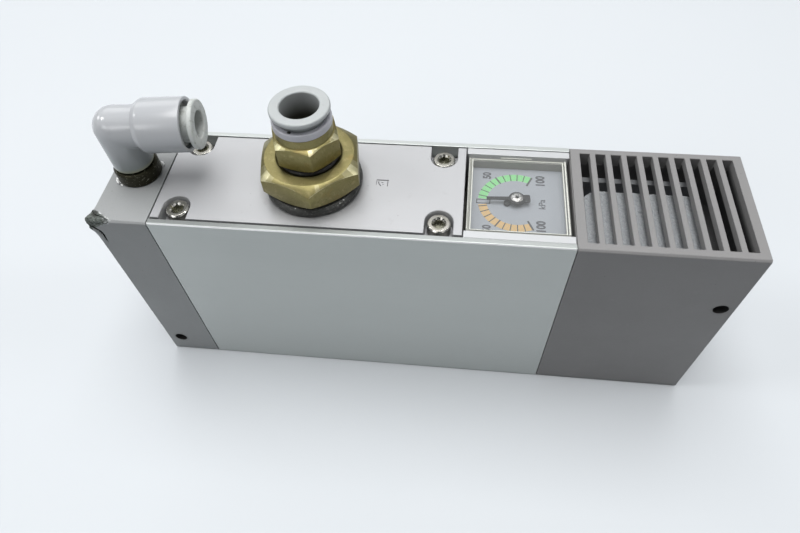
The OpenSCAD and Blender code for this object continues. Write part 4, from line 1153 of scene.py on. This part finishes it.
fin(sector("scale_green", 7.0, 9.08, -5.0, -115.2, 0.0, 0.012), "root", M["dial_green"])
fin(sector("scale_orange", 7.0, 9.08, 8.0, 115.2, 0.0, 0.012), "root", M["dial_orange"])
fin(join("scale_green_fine", [tick("t", -(k * 2.3), 7.15, 9.0, 0.12, 0.0, 0.02) for k in range(3, 50) if k % 5]), "root", M["dial_green2"])
fin(join("scale_orange_fine", [tick("t", k * 2.3, 7.15, 9.0, 0.10, 0.0, 0.02) for k in range(4, 50) if k % 5]), "root", M["dial_orange2"])
marks = []
for k in range(1, 10):
    w = 0.36 if k == 5 else 0.24
    marks.append(tick("t", -11.5 * k, 7.0 if k != 5 else 6.9, 9.12 if k != 5 else 9.3, w))
    marks.append(tick("t", 11.5 * k, 7.0 if k != 5 else 6.9, 9.12 if k != 5 else 9.3, w))
marks.append(tick("t", -115.0, 6.05, 9.1, 0.46))
marks.append(tick("t", 115.0, 6.25, 9.25, 0.46))
# the zero box
zx0, zx1, zy0, zy1, zw = GX - 9.46, GX - 6.1, -0.92, 0.50, 0.24
for lo, hi in (((zx0, zy0), (zx1, zy0 + zw)), ((zx0, zy1 - zw), (zx1, zy1)), ((zx0, zy0), (zx0 + zw, zy1)), ((zx1 - zw, zy0), (zx1, zy1))):
    marks.append(block("z", (lo[0], lo[1], DZ), (hi[0], hi[1], DZ + 0.03)))
fin(join("scale_marks", marks), "root", M["dial_black"])


def label(name, text, cx_, cy_, size, thick=0.0, squeeze=1.0):
    cu = bpy.data.curves.new(name, "FONT")
    cu.body = text
    cu.size = size
    cu.align_x = "CENTER"
    cu.align_y = "CENTER"
    cu.extrude = 0.012
    cu.offset = thick
    cu.resolution_u = 6
    o = bpy.data.objects.new(name, cu)
    coll.objects.link(o)
    bpy.context.view_layer.update()
    dg = bpy.context.evaluated_depsgraph_get()
    me = bpy.data.meshes.new_from_object(o.evaluated_get(dg), depsgraph=dg)
    bpy.data.objects.remove(o)
    bm = bmesh.new()
    bm.from_mesh(me)
    bpy.data.meshes.remove(me)
    # centre it on its own box
    xs = [v.co.x for v in bm.verts]
    ys = [v.co.y for v in bm.verts]
    mid = Vector(((min(xs) + max(xs)) / 2, (min(ys) + max(ys)) / 2, 0))
    # the text's right runs to +Y, its top to -X
    for v in bm.verts:
        c = v.co - mid
        v.co = Vector((cx_ - c.y, cy_ + c.x * squeeze, DZ + 0.014 + c.z))
    bmesh.ops.remove_doubles(bm, verts=bm.verts, dist=0.0015)
    bmesh.ops.dissolve_degenerate(bm, edges=bm.edges, dist=0.0015)
    return obj(name, bm)


fin(join("scale_numbers", [label("n", "50", GX - 7.07, 8.38, 2.65, 0.115, 0.84), label("n", "50", GX - 6.88, -8.62, 2.65, 0.115, 0.84),
                            label("n", "100", GX + 5.85, 7.43, 2.85, 0.12, 0.84), label("n", "100", GX + 5.64, -7.05, 2.85, 0.12, 0.84),
                            label("n", "kPa", GX + 6.08, -0.23, 2.2, 0.03, 1.0)]), "root", M["dial_grey"])

# pointer, spindle cap and stop
PT = Matrix.Translation((GX, 0, DZ + 1.2)) @ Matrix.Rotation(math.radians(2.5), 4, "Z")
arm = prism("needle", fil([(-7.1, -0.42, 0.08), (-1.2, -0.52), (-1.2, 0.52), (-7.1, 0.42, 0.08)], 3), 0.0, 0.28, PT)
cut(arm, prism("tail", fil([(0, -0.95), (2.2, -1.15, 0.4), (3.15, -1.15, 0.35), (3.15, 1.15, 0.35), (2.2, 1.15, 0.4), (0, 0.95)], 4), 0.0, 0.28, PT), op="UNION")
hub = lathe("hub", fil([(0.6, -0.25), (1.9, -0.25, 0.05), (1.9, 0.42, 0.12), (1.55, 0.42, 0.05), (0.6, 0.30)], 3), PT, 96, lambda i, a: 0.0)
cut(arm, hub, op="UNION")
cut(arm, lathe("h", [(0, -2), (0.6, -2), (0.6, 2), (0, 2)], PT, 48))
soften(arm, 0.04, 1)
fin(arm, "pointer", M["black_paint"], ["gauge_pointer"], smooth=30)
ar0, ar1 = mm_box("gauge_arbor")
SP = Matrix.Translation((GX, 0, 0))
cap = lathe("spindle_cap", fil([(0, ar0.z), (0.3, ar0.z + 0.3), (0.58, ar0.z + 0.5), (0.58, DZ + 1.5), (1.5, DZ + 1.5, 0.06), (1.44, DZ + 1.78, 0.12), (1.02, DZ + 1.98, 0.2), (0.50, DZ + 2.05, 0.06), (0.34, DZ + 1.82, 0.03), (0.30, DZ + 1.20), (0, DZ + 1.16)], 5), SP, 96,
            None)
for v in cap.data.vertices:
    if v.co.z > DZ + 1.7:
        v.co.z += 0.05 * noise.noise(v.co * 2.6 + Vector((3, 1, 0)))
# the centre dimple of the cap is painted near black: painted shade
fin(cap, "pointer", M["spindle_steel"], ["gauge_arbor"], more=[(M["split_dark"], lambda c, n: math.hypot(c.x - GX, c.y) < 0.34 and DZ + 1.0 < c.z < DZ + 2.0)])
sp0, sp1 = mm_box("gauge_stop_pin")
fin(lathe("stop_pin", fil([(0, sp0.z), (0.80, sp0.z), (0.90, sp1.z, 0.16), (0, sp1.z)], 4), Matrix.Translation(((sp0.x + sp1.x) / 2, (sp0.y + sp1.y) / 2, 0)), 48), "root", M["black_paint"], ["gauge_stop_pin"])

# ================================================================== silencer felt
f0, f1 = mm_box("silencer_felt")
bm = bmesh.new()
nx_, ny_ = 150, 108
g = [[None] * (ny_ + 1) for _ in range(nx_ + 1)]
for i in range(nx_ + 1):
    for j in range(ny_ + 1):
        x, y = f0.x + (f1.x - f0.x) * i / nx_, f0.y + (f1.y - f0.y) * j / ny_
        q = Vector((x, y, 0))
        e = min(i, nx_ - i, j * 1.0, ny_ - j) / 6.0
        edge = -0.35 * max(0.0, 1 - e) ** 2
        h = 0.16 * noise.fractal(q * 1.5, 0.9, 2.1, 4) + 0.22 * noise.noise(q * 0.32 + Vector((4, 4, 0))) - 0.25 + edge
        for sx, x_, rr_ in ((1, f0.x, 5.0), (-1, f1.x, 2.2)):
            u_, v_ = sx * (x - x_) / rr_, (f1.y - y) / rr_
            if u_ < 1 and v_ < 1:
                a_, b_ = 1 - u_, 1 - v_
                L_ = math.hypot(a_, b_)
                if L_ > 0:
                    k_ = max(a_, b_) / L_
                    x, y = x_ + sx * rr_ * (1 - a_ * k_), f1.y - rr_ * (1 - b_ * k_)
        g[i][j] = bm.verts.new((x, y, min(f1.z, f1.z + h)))
for i in range(nx_):
    for j in range(ny_):
        bm.faces.new((g[i][j], g[i + 1][j], g[i + 1][j + 1], g[i][j + 1]))
lo_ = {}
border = [(i, 0) for i in range(nx_)] + [(nx_, j) for j in range(ny_)] + [(i, ny_) for i in range(nx_, 0, -1)] + [(0, j) for j in range(ny_, 0, -1)]
for i, j in border:
    lo_[(i, j)] = bm.verts.new((g[i][j].co.x, g[i][j].co.y, f0.z))
for k in range(len(border)):
    a, b = border[k], border[(k + 1) % len(border)]
    bm.faces.new((g[a[0]][a[1]], lo_[a], lo_[b], g[b[0]][b[1]]))
bm.faces.new([lo_[b] for b in border])
bmesh.ops.recalc_face_normals(bm, faces=bm.faces)
fin(obj("felt_pad", bm), "root", M["felt_grey"], ["silencer_felt"], smooth=60)
